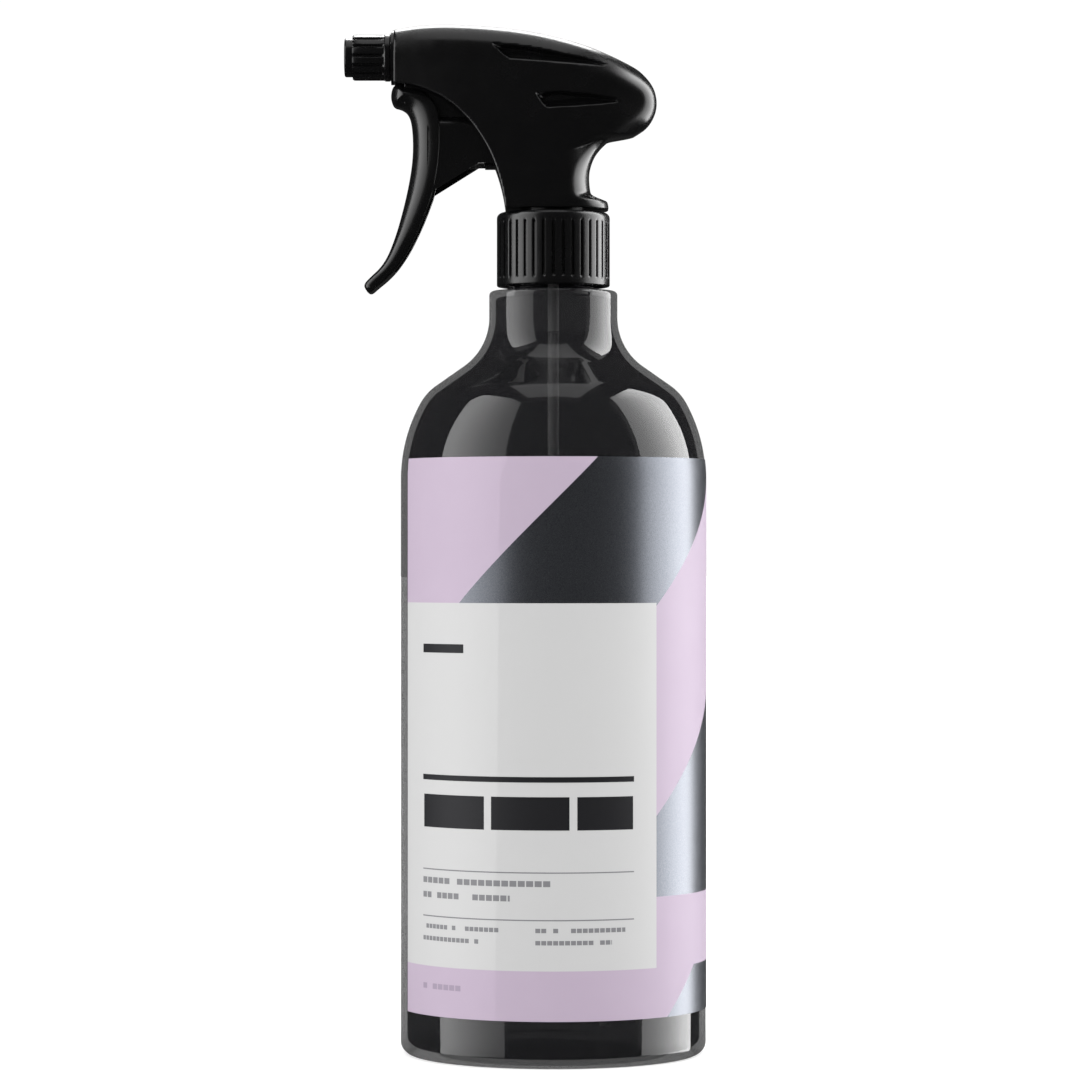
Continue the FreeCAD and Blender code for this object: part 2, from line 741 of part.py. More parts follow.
# ---------------------------------------------------------------- piston and return spring


def piston():
    level = dim("cylinder_level")
    end = dim("piston_end")
    solid = join("piston_solid", [
        along_x("piston_button", dim("button_radius"), end, end + dim("button_length"), level),
        along_x("piston_rod", dim("rod_radius"), end, dim("head_start") + 1, level),
        along_x("piston_head", dim("head_radius"), dim("head_start"), dim("head_end"), level)])
    groove = ring_along_x("seal_groove", dim("seal_root"), dim("cylinder_bore"), dim("seal_start"),
                          dim("seal_end"), level)
    pocket = along_x("spring_pocket", dim("pocket_radius"), dim("pocket_floor"),
                     dim("head_end") + 1, level)
    return cut("piston", solid, join("piston_hollows", [groove, pocket]))


def piston_seal():
    return ring_along_x("piston_seal", dim("seal_root"), dim("seal_radius"), dim("seal_start") + 0.1,
                        dim("seal_end") - 0.1, dim("cylinder_level"))


def spring(name, coil, wire, turns, start, end, level):
    """A compression spring along X, with a clear end at each seat."""
    body = new_body(name)
    sketch = circle(body, name + "_wire", "XZ_Plane", wire + 0.05, coil, wire)
    free = end - start - wire * 2 - 0.1
    pitch = Size(number(free) / number(turns), f"({free.text} / {turns.text})")
    helix(body, sketch, "H_Axis", pitch, free)
    return move(body, x=start, z=level)


def return_spring():
    return spring("return_spring", dim("spring_coil"), dim("spring_wire"), dim("spring_turns"),
                  dim("pocket_floor"), dim("cylinder_floor"), dim("cylinder_level"))


# ---------------------------------------------------------------- outlet valve and nozzle


def outlet_valve():
    level = dim("barrel_level")
    seat = dim("valve_seat") - 0.05
    head = seat - dim("poppet_length")
    return join("outlet_valve", [
        along_x("poppet_head", dim("poppet_radius"), head, seat, level),
        along_x("poppet_pin", dim("poppet_pin"), head - dim("poppet_pin_length"), seat, level)])


def outlet_spring():
    return spring("outlet_spring", dim("valve_spring_coil"), dim("valve_spring_wire"),
                  dim("valve_spring_turns"), dim("swirl_rear"),
                  dim("valve_seat") - 0.05 - dim("poppet_length"), dim("barrel_level"))


def swirl_insert():
    """A plug in the snout. Slots along its side feed the swirl chamber behind the orifice."""
    level = dim("barrel_level")
    front = dim("snout_front")
    slot = dim("swirl_slot")
    slots = []
    for index in range(int(number(dim("swirl_slots")))):
        box = doc.addObject("Part::Box", f"swirl_slot_{index}")
        bind(box, "Length", dim("swirl_rear") - front + 2)
        bind(box, "Width", slot)
        bind(box, "Height", slot * 2)
        turn = Rotation(Vector(1, 0, 0), 360 / number(dim("swirl_slots")) * index)
        reach = turn.multVec(Vector(0, -number(slot) / 2, number(dim("swirl_radius")) - number(slot)))
        box.Placement = Placement(Vector(number(front) - 1, reach.y, number(level) + reach.z), turn)
        slots.append(box)
    return cut("swirl_insert", along_x("swirl_plug", dim("swirl_radius"), front, dim("swirl_rear"), level),
               join("swirl_slots_all", slots))


def nozzle_cap():
    body = new_body("nozzle_cap")
    cup = dim("nozzle_cup")
    front = dim("nozzle_front")
    profile = outline(
        body, "nozzle_wall", "XZ_Plane",
        (dim("nozzle_rear"), dim("nozzle_bore")),
        (dim("nozzle_rear"), dim("nozzle_flange_radius")),
        (dim("nozzle_flange"), dim("nozzle_flange_radius")),
        (dim("nozzle_flange"), dim("nozzle_radius")),
        (dim("nozzle_ring"), dim("nozzle_radius")),
        (dim("nozzle_ring"), dim("nozzle_ring_radius")),
        (front + 0.5, dim("nozzle_ring_radius")),
        (front, dim("nozzle_ring_radius") - 0.5),
        (front, cup),
        (front + dim("nozzle_cup_depth"), cup - 0.8),
        (front + dim("nozzle_cup_depth"), dim("orifice")),
        (dim("nozzle_floor"), dim("orifice")),
        (dim("nozzle_floor"), dim("nozzle_bore")))
    revolve(body, profile, axis="H_Axis")
    groove = outline(
        body, "nozzle_groove", "XZ_Plane",
        (dim("nozzle_ring") - 0.1, dim("nozzle_radius") - dim("nozzle_rib_depth")),
        (dim("nozzle_flange"), dim("nozzle_radius") - dim("nozzle_rib_depth")),
        (dim("nozzle_flange"), dim("nozzle_radius") + 1),
        (dim("nozzle_ring") - 0.1, dim("nozzle_radius") + 1))
    pocket_pattern(body, groove, dim("nozzle_rib_gap"), dim("nozzle_ribs"), groove, "H_Axis")
    return move(body, z=dim("barrel_level"))


def nozzle_washer():
    floor = dim("nozzle_floor")
    return ring_along_x("nozzle_washer", dim("swirl_radius") - 0.6, dim("nozzle_bore") - 0.05,
                        floor + 0.02, floor + dim("washer_thickness"), dim("barrel_level"))


# ---------------------------------------------------------------- build, check and write


NODES = [
    bottle(), label(), lubricant_fill(), closure_cap(), neck_gasket(), tube_retainer(), dip_tube(),
    inlet_ball(), pump_body(), shroud(), trigger(), piston(), piston_seal(), return_spring(),
    outlet_valve(), outlet_spring(), swirl_insert(), nozzle_cap(), nozzle_washer(),
]
doc.recompute()

for item in doc.Objects:
    if "Invalid" in item.State or "Error" in item.State:
        raise RuntimeError(f"{item.Label} failed: {item.State}")
for node in NODES:
    if node.Shape.isNull() or not node.Shape.isValid():
        raise RuntimeError(f"{node.Label} has no valid shape")

os.makedirs("parts", exist_ok=True)
for node in NODES:
    node.Shape.exportStep(f"parts/{node.Label}.step")
    box = node.Shape.BoundBox
    low = f"{box.XMin:.2f} {box.YMin:.2f} {box.ZMin:.2f}"
    high = f"{box.XMax:.2f} {box.YMax:.2f} {box.ZMax:.2f}"
    print(f"{node.Label:16s} volume {node.Shape.Volume:10.1f}  from {low}  to {high}")
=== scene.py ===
"""Looks for the one-litre trigger spray bottle. Sizes are in millimetres, except the lights' and textures',
which are in metres."""

import math

import bpy
import numpy as np
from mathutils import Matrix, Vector


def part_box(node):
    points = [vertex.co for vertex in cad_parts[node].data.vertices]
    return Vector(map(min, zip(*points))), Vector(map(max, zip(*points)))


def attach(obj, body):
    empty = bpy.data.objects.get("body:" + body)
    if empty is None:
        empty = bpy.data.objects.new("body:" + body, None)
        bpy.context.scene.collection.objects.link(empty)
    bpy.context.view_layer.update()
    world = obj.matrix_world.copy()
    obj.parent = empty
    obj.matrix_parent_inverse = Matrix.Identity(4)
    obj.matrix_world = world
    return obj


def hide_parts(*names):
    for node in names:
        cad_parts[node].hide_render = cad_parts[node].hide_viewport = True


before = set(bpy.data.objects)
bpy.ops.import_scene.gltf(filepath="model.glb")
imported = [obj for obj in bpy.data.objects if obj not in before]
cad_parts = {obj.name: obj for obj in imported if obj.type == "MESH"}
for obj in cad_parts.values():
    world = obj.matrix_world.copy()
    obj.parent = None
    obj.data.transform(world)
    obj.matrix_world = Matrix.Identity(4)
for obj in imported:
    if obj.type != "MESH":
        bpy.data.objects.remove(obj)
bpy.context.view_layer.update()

MM = 0.001


def node_box(node):
    """Lowest and highest corner of a CAD node, in millimetres."""
    low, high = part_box(node)
    return np.array(low) / MM, np.array(high) / MM


# ---------------------------------------------------------------- meshes


def new_piece(name, points, faces, body, replaces, sharp):
    """A mesh piece from points in millimetres, with smooth shading and creases above the sharp angle."""
    mesh = bpy.data.meshes.new(name)
    mesh.from_pydata((np.asarray(points, float) * MM).tolist(), [], faces)
    mesh.shade_smooth()
    if sharp:
        mesh.set_sharp_from_angle(angle=math.radians(sharp))
    piece = bpy.data.objects.new(name, mesh)
    bpy.context.scene.collection.objects.link(piece)
    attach(piece, body)
    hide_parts(*replaces)
    return piece


def arc(centre, radius, begin, end, count):
    """Points round a circle between two angles in degrees."""
    angles = np.radians(np.linspace(begin, end, count))
    return [(centre[0] + radius * math.cos(a), centre[1] + radius * math.sin(a)) for a in angles]


def lathe(profile, segments, offset=None, closed=True):
    """Turn a list of (radius, height) round Z. offset(angles, heights, radii) is added to the radii."""
    profile = np.array(profile, float)
    angles = np.linspace(0, 2 * math.pi, segments, endpoint=False)
    radii = np.repeat(profile[:, :1], segments, axis=1)
    heights = np.repeat(profile[:, 1:], segments, axis=1)
    if offset is not None:
        radii = radii + offset(angles[None, :], heights, radii)
    points = np.stack([radii * np.cos(angles), radii * np.sin(angles), heights], axis=-1).reshape(-1, 3)
    faces = []
    rings = len(profile)
    for ring in range(rings if closed else rings - 1):
        following = (ring + 1) % rings
        for s in range(segments):
            t = (s + 1) % segments
            faces.append((ring * segments + s, ring * segments + t,
                          following * segments + t, following * segments + s))
    return points, faces


def lay_along_minus_x(points, level):
    """Turn a part made round Z so that its axis points to -X at a height."""
    return np.stack([-points[:, 2], points[:, 1], level + points[:, 0]], axis=-1)


def merge(*parts):
    """Several (points, faces) as one."""
    points, faces, start = [], [], 0
    for part_points, part_faces in parts:
        points.append(np.asarray(part_points, float))
        faces += [tuple(index + start for index in face) for face in part_faces]
        start += len(part_points)
    return np.concatenate(points), faces


THREAD_PITCH = 3.175
THREAD_TURNS = 1.5
THREAD_FOOT = 0.9
THREAD_TIP = 0.4
THREAD_STEPS = 72
THREAD_FADE = 0.08


def thread_ridge(root, crest, level):
    """A helical ridge on a cylinder, with tapered ends. root and crest are its radii.

    Known fault: the faces point outwards only where the crest is inside the root, as in the closure. On the
    bottle's neck they point inwards.
    """
    count = int(THREAD_STEPS * THREAD_TURNS) + 1
    points, faces = [], []
    for index in range(count):
        turn = index / THREAD_STEPS
        fade = min(1, min(index, count - 1 - index) / (THREAD_STEPS * THREAD_FADE))
        height = root + (crest - root) * fade
        angle = 2 * math.pi * turn
        middle = level + THREAD_PITCH * turn
        section = ((root, -THREAD_FOOT), (height, -THREAD_TIP), (height, THREAD_TIP), (root, THREAD_FOOT))
        for radius, lift in section:
            points.append((radius * math.cos(angle), radius * math.sin(angle), middle + lift))
    for index in range(count - 1):
        for side in range(4):
            a, b = index * 4 + side, index * 4 + (side + 1) % 4
            faces.append((a, b, b + 4, a + 4))
    faces += [(3, 2, 1, 0), tuple(range(count * 4 - 4, count * 4))]
    return points, faces


# ---------------------------------------------------------------- solids from distance fields


def signed_distance(corners, x, z):
    """The distance of points from a closed outline, negative inside it."""
    nearest = np.full(np.broadcast(x, z).shape, 1e9)
    inside = np.zeros(nearest.shape, bool)
    for (ax, az), (bx, bz) in zip(corners, np.roll(corners, -1, axis=0)):
        dx, dz = bx - ax, bz - az
        share = np.clip(((x - ax) * dx + (z - az) * dz) / (dx * dx + dz * dz), 0, 1)
        nearest = np.minimum(nearest, np.hypot(x - ax - share * dx, z - az - share * dz))
        if dz:
            inside ^= ((az > z) != (bz > z)) & (x < ax + (z - az) * dx / dz)
    return np.where(inside, -nearest, nearest)


def spline_weights(share):
    """The four weights of a cubic B-spline, which keeps slopes and their changes smooth."""
    rest = 1 - share
    return (
        rest ** 3 / 6,
        (3 * share ** 3 - 6 * share ** 2 + 4) / 6,
        (3 * rest ** 3 - 6 * rest ** 2 + 4) / 6,
        share ** 3 / 6)


class Outline:
    """A closed outline. Its signed distances are tabled once and then read as a smooth surface."""

    GRID = 0.3
    REACH = 9.0

    def __init__(self, corners):
        corners = np.array(corners, float)
        self.low = corners.min(axis=0) - self.REACH
        count = ((corners.max(axis=0) + self.REACH - self.low) / self.GRID).astype(int) + 2
        x, z = [self.low[n] + self.GRID * np.arange(count[n]) for n in (0, 1)]
        self.table = signed_distance(corners, x[:, None], z[None, :])
        self.last = count - 3.001

    def distance(self, x, z):
        across = np.clip((np.asarray(x, float) - self.low[0]) / self.GRID, 1, self.last[0])
        up = np.clip((np.asarray(z, float) - self.low[1]) / self.GRID, 1, self.last[1])
        column, row = across.astype(int), up.astype(int)
        total = 0
        for i, weight_across in enumerate(spline_weights(across - column)):
            for j, weight_up in enumerate(spline_weights(up - row)):
                total = total + weight_across * weight_up * self.table[column + i - 1, row + j - 1]
        return total


def smooth_outline(corners, rounds=4):
    """Cut the corners of an outline again and again, which leaves a smooth curve."""
    points = np.array(corners, float)
    for _ in range(rounds):
        following = np.roll(points, -1, axis=0)
        cuts = [points * 0.75 + following * 0.25, points * 0.25 + following * 0.75]
        points = np.stack(cuts, axis=1).reshape(-1, 2)
    return Outline(points)


def both(a, b, radius):
    """Inside both fields, with the edge between them rounded."""
    corner = np.hypot(np.maximum(a + radius, 0), np.maximum(b + radius, 0))
    return np.minimum(-radius, np.maximum(a, b)) + corner


def ramp(value, start, end):
    """0 before start, 1 after end, and a smooth rise between."""
    share = np.clip((value - start) / (end - start), 0, 1)
    return share * share * (3 - 2 * share)


def slopes(field, points, reach=0.02):
    """The field at points, and its gradient there."""
    x, y, z = points.T
    rise = np.stack([
        field(x + reach, y, z) - field(x - reach, y, z),
        field(x, y + reach, z) - field(x, y - reach, z),
        field(x, y, z + reach) - field(x, y, z - reach)], axis=-1) / (2 * reach)
    return field(x, y, z), rise


SETTLING_ROUNDS = 5
LEAST_SLOPE = 0.05
LONGEST_MOVE = 0.3


def field_mesh(field, low, high, step):
    """Quads along the zero level of a field, moved onto it, with the field's own normals."""
    axes = [np.arange(a, b + step, step) for a, b in zip(low, high)]
    x, y, z = np.meshgrid(*axes, indexing="ij", sparse=True)
    values = field(x, y, z)
    inside = values < 0
    cells = np.zeros(tuple(n - 1 for n in values.shape), int)
    total = np.zeros(cells.shape + (3,))
    hits = np.zeros(cells.shape)
    corners = [(i, j, k) for i in (0, 1) for j in (0, 1) for k in (0, 1)]
    part = [slice(0, -1), slice(1, None)]
    for a in corners:
        for axis in range(3):
            if a[axis]:
                continue
            b = tuple(1 if n == axis else a[n] for n in range(3))
            va = values[part[a[0]], part[a[1]], part[a[2]]]
            vb = values[part[b[0]], part[b[1]], part[b[2]]]
            crossed = (va < 0) != (vb < 0)
            share = np.where(crossed, va / np.where(crossed, va - vb, 1), 0)
            for n in range(3):
                total[..., n] += crossed * (share if n == axis else a[n])
            hits += crossed
    used = hits > 0
    cells[used] = np.arange(used.sum())
    where = np.argwhere(used)
    points = np.array(low) + (where + total[used] / hits[used][:, None]) * step
    faces = []
    for axis in range(3):
        u, v = [n for n in range(3) if n != axis]
        ahead = np.take(inside, range(1, inside.shape[axis]), axis)
        behind = np.take(inside, range(0, inside.shape[axis] - 1), axis)
        for flip, chosen in ((axis != 1, behind & ~ahead), (axis == 1, ~behind & ahead)):
            spots = np.argwhere(chosen)
            spots = spots[(spots[:, u] > 0) & (spots[:, v] > 0)]
            loop = []
            for du, dv in ((1, 1), (0, 1), (0, 0), (1, 0)):
                cell = spots.copy()
                cell[:, u] -= du
                cell[:, v] -= dv
                loop.append(cells[tuple(cell.T)])
            quads = np.stack(loop, axis=-1)
            faces.append(quads if flip else quads[:, ::-1])
    faces = np.concatenate(faces)
    for _ in range(SETTLING_ROUNDS):
        value, rise = slopes(field, points)
        length = np.maximum((rise * rise).sum(axis=1), LEAST_SLOPE)
        shift = np.clip(value / length, -LONGEST_MOVE * step, LONGEST_MOVE * step)
        points = points - rise * shift[:, None]
    return points, faces, slopes(field, points)[1]


def bar(section, start, end, place):
    """A bar with flat ends. place gives the point for a level and the section's two numbers."""
    count = len(section)
    points = [place(level, *corner) for level in (start, end) for corner in section]
    faces = [tuple(range(count)), tuple(range(2 * count - 1, count - 1, -1))]
    faces += [(n, n + count, (n + 1) % count + count, (n + 1) % count) for n in range(count)]
    return points, faces


def plate(corners, start, end):
    """A flat plate with an outline in X and Z, counterclockwise, between two Y levels."""
    return bar(corners, start, end, lambda y, x, z: (x, y, z))


def curb(left, right, section):
    """A bar along X with an outline in Y and Z."""
    return bar(section, left, right, lambda x, y, z: (x, y, z))


FIELD_MARGIN = 1.3


def field_piece(name, field, step, body, replaces, extra=()):
    """A field's surface in and just round a CAD node's box, as a piece. Flat-faced parts can be added."""
    low, high = node_box(replaces[0])
    points, faces, rise = field_mesh(field, low - FIELD_MARGIN, high + FIELD_MARGIN, step)
    rounded = len(faces)
    points, faces = merge((points, faces.tolist()), *extra)
    piece = new_piece(name, points, faces, body, replaces, sharp=None)
    mesh = piece.data
    normals = rise / np.maximum(np.linalg.norm(rise, axis=1), 1e-9)[:, None]
    loops = [normals[index] for face in mesh.polygons[:rounded] for index in face.vertices]
    for face in mesh.polygons[rounded:]:
        loops += [np.array(face.normal)] * len(face.vertices)
    mesh.normals_split_custom_set(np.array(loops).tolist())
    return piece


# ---------------------------------------------------------------- materials


class Paint:
    """A material with one Principled shader, and short ways to add nodes to it."""

    def __init__(self, name, color, roughness, **values):
        self.material = bpy.data.materials.new(name)
        self.material.use_nodes = True
        self.nodes = self.material.node_tree.nodes
        self.links = self.material.node_tree.links
        self.shader = self.nodes["Principled BSDF"]
        self.set("Base Color", (*color, 1))
        self.set("Roughness", roughness)
        for socket, value in values.items():
            self.set(socket.replace("_", " "), value)

    def set(self, socket, value):
        self.shader.inputs[socket].default_value = value

    def node(self, kind, **values):
        made = self.nodes.new(kind)
        for key, value in values.items():
            setattr(made, key, value)
        return made

    def feed(self, target, source):
        """Put a number, a colour or another node's output into a socket."""
        if isinstance(source, bpy.types.NodeSocket):
            self.links.new(source, target)
        else:
            target.default_value = source

    def math(self, operation, first, second=0.0):
        made = self.node("ShaderNodeMath", operation=operation)
        self.feed(made.inputs[0], first)
        self.feed(made.inputs[1], second)
        return made.outputs[0]

    def place(self):
        return self.node("ShaderNodeTexCoord").outputs["Object"]

    def noise(self, scale, detail=2.0):
        made = self.node("ShaderNodeTexNoise")
        made.inputs["Scale"].default_value = scale
        made.inputs["Detail"].default_value = detail
        self.feed(made.inputs["Vector"], self.place())
        return made.outputs["Fac"]

    def span(self, value, low, high):
        """Map 0.3 to 0.7, which noise mostly keeps to, onto low to high."""
        made = self.node("ShaderNodeMapRange")
        self.feed(made.inputs["Value"], value)
        for socket, number in (("From Min", 0.3), ("From Max", 0.7), ("To Min", low), ("To Max", high)):
            made.inputs[socket].default_value = number
        return made.outputs["Result"]

    def mix(self, share, first, second):
        made = self.node("ShaderNodeMix", data_type="RGBA")
        self.feed(made.inputs[0], share)
        self.feed(made.inputs[6], first)
        self.feed(made.inputs[7], second)
        return made.outputs[2]

    def link(self, socket, source):
        self.links.new(source, self.shader.inputs[socket])

    def bump(self, height, strength, distance):
        made = self.node("ShaderNodeBump")
        made.inputs["Strength"].default_value = strength
        made.inputs["Distance"].default_value = distance
        self.feed(made.inputs["Height"], height)
        self.link("Normal", made.outputs["Normal"])


def moulded(name, color, roughness, spread, grain, depth, **values):
    """Moulded plastic: fine grain in its surface, and slow changes of gloss."""
    paint = Paint(name, color, roughness, **values)
    paint.link("Roughness", paint.span(paint.noise(140), roughness - spread, roughness + spread))
    paint.bump(paint.noise(grain, detail=3.0), 0.35, depth)
    return paint.material


SKIN_ALPHA = 0.68
LIQUID_ALPHA = 0.22


def smoked_plastic():
    """Clear bottle plastic with a dark tint. Each of the wall's two skins dims what is behind it."""
    return Paint("smoked_clear", (0.006, 0.006, 0.007), 0.035, IOR=1.57, Alpha=SKIN_ALPHA).material


def clear_liquid():
    return Paint("clear_lubricant", (0.008, 0.008, 0.009), 0.03, IOR=1.34, Alpha=LIQUID_ALPHA).material


def brushed(name, color):
    paint = Paint(name, color, 0.24, Metallic=1.0)
    paint.link("Roughness", paint.span(paint.noise(900), 0.17, 0.33))
    paint.bump(paint.noise(2600, detail=3.0), 0.2, 0.00001)
    return paint.material


# ---------------------------------------------------------------- bottle and liquid


WALL = 1.8
BASE_CORNER = 3.4
BASE_RING = 32
BASE_RISE = 4
FLOOR = 2.4
SHOULDER_START = 160
SHOULDER_RADIUS = 44
SHOULDER_TURN = 28.5
TUCK_RADIUS = 14.6
FLARE_TURN = 55
FLARE_RADIUS = 16.7
NECK_RADIUS = 17.87
SHELF = 212.4
FINISH_RADIUS = 12.6
FINISH_BORE = 10.85
SHELF_ROUND = 1.2
SHELF_FILLET = 0.7
LIP_ROUND = 0.5
INNER_ROUND = 1
NECK_THREAD_CREST = 13.7
NECK_THREAD_LEVEL = 219
LIQUID_LEVEL = 200.5
LIQUID_GAP = 0.06
MENISCUS = 0.55
TUBE_MENISCUS = 0.3
# Where the liquid starts to climb the dip tube, as a share of the tube retainer's radius.
TUBE_SHARE = 0.4
# Skins stop this far from the axis. Known fault: it leaves a pinhole at each end of the liquid.
POLE = 0.01
WALL_ROWS = 12
ROUND = 192
BOTTLE_RADIUS, _, LIP = node_box("bottle")[1]

SHOULDER_CENTRE = (BOTTLE_RADIUS - SHOULDER_RADIUS, SHOULDER_START)
TUCK_CENTRE = arc(SHOULDER_CENTRE, SHOULDER_RADIUS - TUCK_RADIUS, SHOULDER_TURN, SHOULDER_TURN, 1)[0]
FLARE_CENTRE = (NECK_RADIUS + FLARE_RADIUS, 205.1)


def side_profile(inset):
    """The bottle's side from the wall up to the neck, a given distance inside its skin."""
    return (
        arc(SHOULDER_CENTRE, SHOULDER_RADIUS - inset, 0, SHOULDER_TURN, 18)
        + arc(TUCK_CENTRE, TUCK_RADIUS - inset, SHOULDER_TURN, FLARE_TURN, 9)[1:]
        + arc(FLARE_CENTRE, FLARE_RADIUS + inset, 180 + FLARE_TURN, 180, 18))


def base_profile(inset):
    """The foot of the side, from the base's flat ring up to the wall."""
    corner = BASE_CORNER - inset * 0.5
    centre = (BOTTLE_RADIUS - inset - corner, inset * FLOOR / WALL + corner)
    return [(BASE_RING, inset * FLOOR / WALL)] + arc(centre, corner, -90, 0, 10)


def wall_and_side(inset, bottom):
    """Even rings up the straight wall, so that its long faces stay short, and then the side above it."""
    side = side_profile(inset)
    levels = np.linspace(bottom, SHOULDER_START, WALL_ROWS + 1)[1:-1]
    return [(side[0][0], z) for z in levels] + side


def outer_skin():
    """The bottle's outer outline, from the middle of its base to the top of its lip."""
    skin = [(POLE, BASE_RISE), (BASE_RING * 0.5, BASE_RISE * 0.5)] + base_profile(0)
    skin += wall_and_side(0, BASE_CORNER)
    skin += [(NECK_RADIUS, (FLARE_CENTRE[1] + SHELF) / 2)]
    skin += arc((NECK_RADIUS - SHELF_ROUND, SHELF - SHELF_ROUND), SHELF_ROUND, 0, 90, 8)
    foot = FINISH_RADIUS + SHELF_FILLET
    skin += [(foot, SHELF)] + arc((foot, SHELF + SHELF_FILLET), SHELF_FILLET, 270, 180, 5)[1:]
    return skin + arc((FINISH_RADIUS - LIP_ROUND, LIP - LIP_ROUND), LIP_ROUND, 0, 90, 5)


def inner_skin():
    """The bottle's inner outline, from the middle of its floor to its lip."""
    skin = [(POLE, BASE_RISE + FLOOR), (BASE_RING * 0.5, BASE_RISE * 0.5 + FLOOR)] + base_profile(WALL)
    skin += wall_and_side(WALL, BASE_CORNER + FLOOR)
    skin += arc((NECK_RADIUS - WALL - INNER_ROUND, SHELF - WALL - INNER_ROUND), INNER_ROUND, 0, 90, 5)
    skin += arc((FINISH_BORE + INNER_ROUND, SHELF - WALL + INNER_ROUND), INNER_ROUND, 270, 180, 5)
    return skin + [(FINISH_BORE, LIP)]


def make_bottle():
    thread = thread_ridge(FINISH_RADIUS - 0.2, NECK_THREAD_CREST, NECK_THREAD_LEVEL)
    points, faces = merge(lathe(outer_skin() + inner_skin()[::-1], ROUND), thread)
    piece = new_piece("bottle_shell", points, faces, "bottle", ["bottle"], sharp=40)
    piece.visible_shadow = False
    piece.data.materials.append(smoked_plastic())


def make_liquid():
    """The lubricant, with a meniscus that climbs the wall and the dip tube a little."""
    gap = WALL + LIQUID_GAP
    centre_x, centre_z = FLARE_CENTRE
    contact = centre_x - math.sqrt((FLARE_RADIUS + gap) ** 2 - (centre_z - LIQUID_LEVEL) ** 2)
    profile = [(POLE, BASE_RISE + FLOOR + LIQUID_GAP), (BASE_RING, FLOOR + LIQUID_GAP)]
    profile += base_profile(gap)[1:]
    side = wall_and_side(gap, BASE_CORNER + FLOOR)
    profile += [point for point in side if point[1] < LIQUID_LEVEL - 0.5] + [(contact, LIQUID_LEVEL)]
    for reach in (0.4, 0.9, 1.6, 2.6, 4):
        profile.append((contact - reach, LIQUID_LEVEL - MENISCUS * (1 - math.exp(-reach))))
    surface = LIQUID_LEVEL - MENISCUS
    climb = surface + TUBE_MENISCUS
    tube = -node_box("tube_retainer")[0][0] * TUBE_SHARE
    profile += [(tube + 1, surface), (tube, climb), (POLE, climb)]
    points, faces = lathe(profile, ROUND, closed=False)
    piece = new_piece("lubricant", points, faces, "bottle", ["lubricant_fill"], sharp=50)
    piece.visible_shadow = False
    piece.data.materials.append(clear_liquid())


# ---------------------------------------------------------------- label


LABEL_BOTTOM = 13.1
LABEL_TOP = 165.4
LABEL_WRAP = 325
LABEL_LEFT = -70.5
LABEL_COLUMNS = 260
GLUE = 0.02
FILM = 0.15
PANEL_RIGHT = 30.3
PANEL_BOTTOM = 26.7
PANEL_TOP = 125.8
LILAC = (0.435, 0.36, 0.45, 1)
GREY = (0.50, 0.50, 0.50, 1)
INK = (0.012, 0.012, 0.014, 1)
SOFT_INK = (0.19, 0.19, 0.20, 1)
FAINT_INK = (0.30, 0.25, 0.32, 1)
LILAC_SHADE = (0.425, 0.35, 0.44, 1)
DARK_METAL = (0.085, 0.091, 0.105, 1)
LIGHT_METAL = (0.145, 0.152, 0.168, 1)
FLAKE_SCALE = 5200

# Each area's left and right end round the front, from its middle, and its bottom and top.
TITLE_AREAS = [
    (-42.1, 22.7, 77.5, 79.0), (-41.6, -19.5, 64.6, 73.6), (-17.4, 4.2, 64.6, 73.6), (6.3, 22.4, 64.6, 73.6)]
MARK_AREA = (-42, -26, 112.2, 114.6)
RULE_AREAS = [(-42.1, 22.7, 53.0, 53.35), (-42.1, 22.7, 40.2, 40.55)]
# The same, then the length of a stroke with its gap, and a number that picks which strokes are drawn.
PRINT_ROWS = [
    (-42, 2.5, 49.4, 51.0, 2.3, 3.1), (-42, -12, 45.4, 47.0, 2.1, 17.7),
    (-42, -14, 37.0, 38.2, 1.5, 31.3), (-42, -20, 33.7, 34.9, 1.5, 47.9),
    (-5, 20, 37.0, 38.2, 1.6, 59.2), (-5, 16, 33.7, 34.9, 1.6, 71.4)]
FAINT_ROW = (-42, -27, 20.5, 22.0, 2.2, 83.5)


def label_mesh():
    """A thin closed film round the bottle. Its map runs 0 to 1 along the wrap and up."""
    climb = math.degrees(math.asin((LABEL_TOP - SHOULDER_START) / SHOULDER_RADIUS))
    rows = [(BOTTLE_RADIUS, z) for z in np.linspace(LABEL_BOTTOM, SHOULDER_START, 25)]
    rows += arc(SHOULDER_CENTRE, SHOULDER_RADIUS, 0, climb, 5)[1:]
    columns = LABEL_COLUMNS
    angles = np.radians(np.linspace(LABEL_LEFT, LABEL_LEFT + LABEL_WRAP, columns))
    points, maps = [], []
    for lift in (GLUE, FILM):
        for radius, z in rows:
            for index, angle in enumerate(angles):
                reach = radius + lift
                points.append((reach * math.sin(angle), -reach * math.cos(angle), z))
                maps.append((index / (columns - 1), (z - LABEL_BOTTOM) / (LABEL_TOP - LABEL_BOTTOM)))
    layer = len(rows) * columns
    faces = []
    for row in range(len(rows) - 1):
        for column in range(columns - 1):
            a = row * columns + column
            inner = (a, a + columns, a + columns + 1, a + 1)
            faces += [inner, tuple(index + layer for index in inner[::-1])]
    bottom = list(range(columns))
    top = [index + layer - columns for index in bottom]
    left = [row * columns for row in range(len(rows))]
    right = [index + columns - 1 for index in left]
    for edge, turned in ((bottom, False), (top, True), (left, True), (right, False)):
        for a, b in zip(edge, edge[1:]):
            quad = (a, b, b + layer, a + layer)
            faces.append(quad[::-1] if turned else quad)
    return points, faces, maps


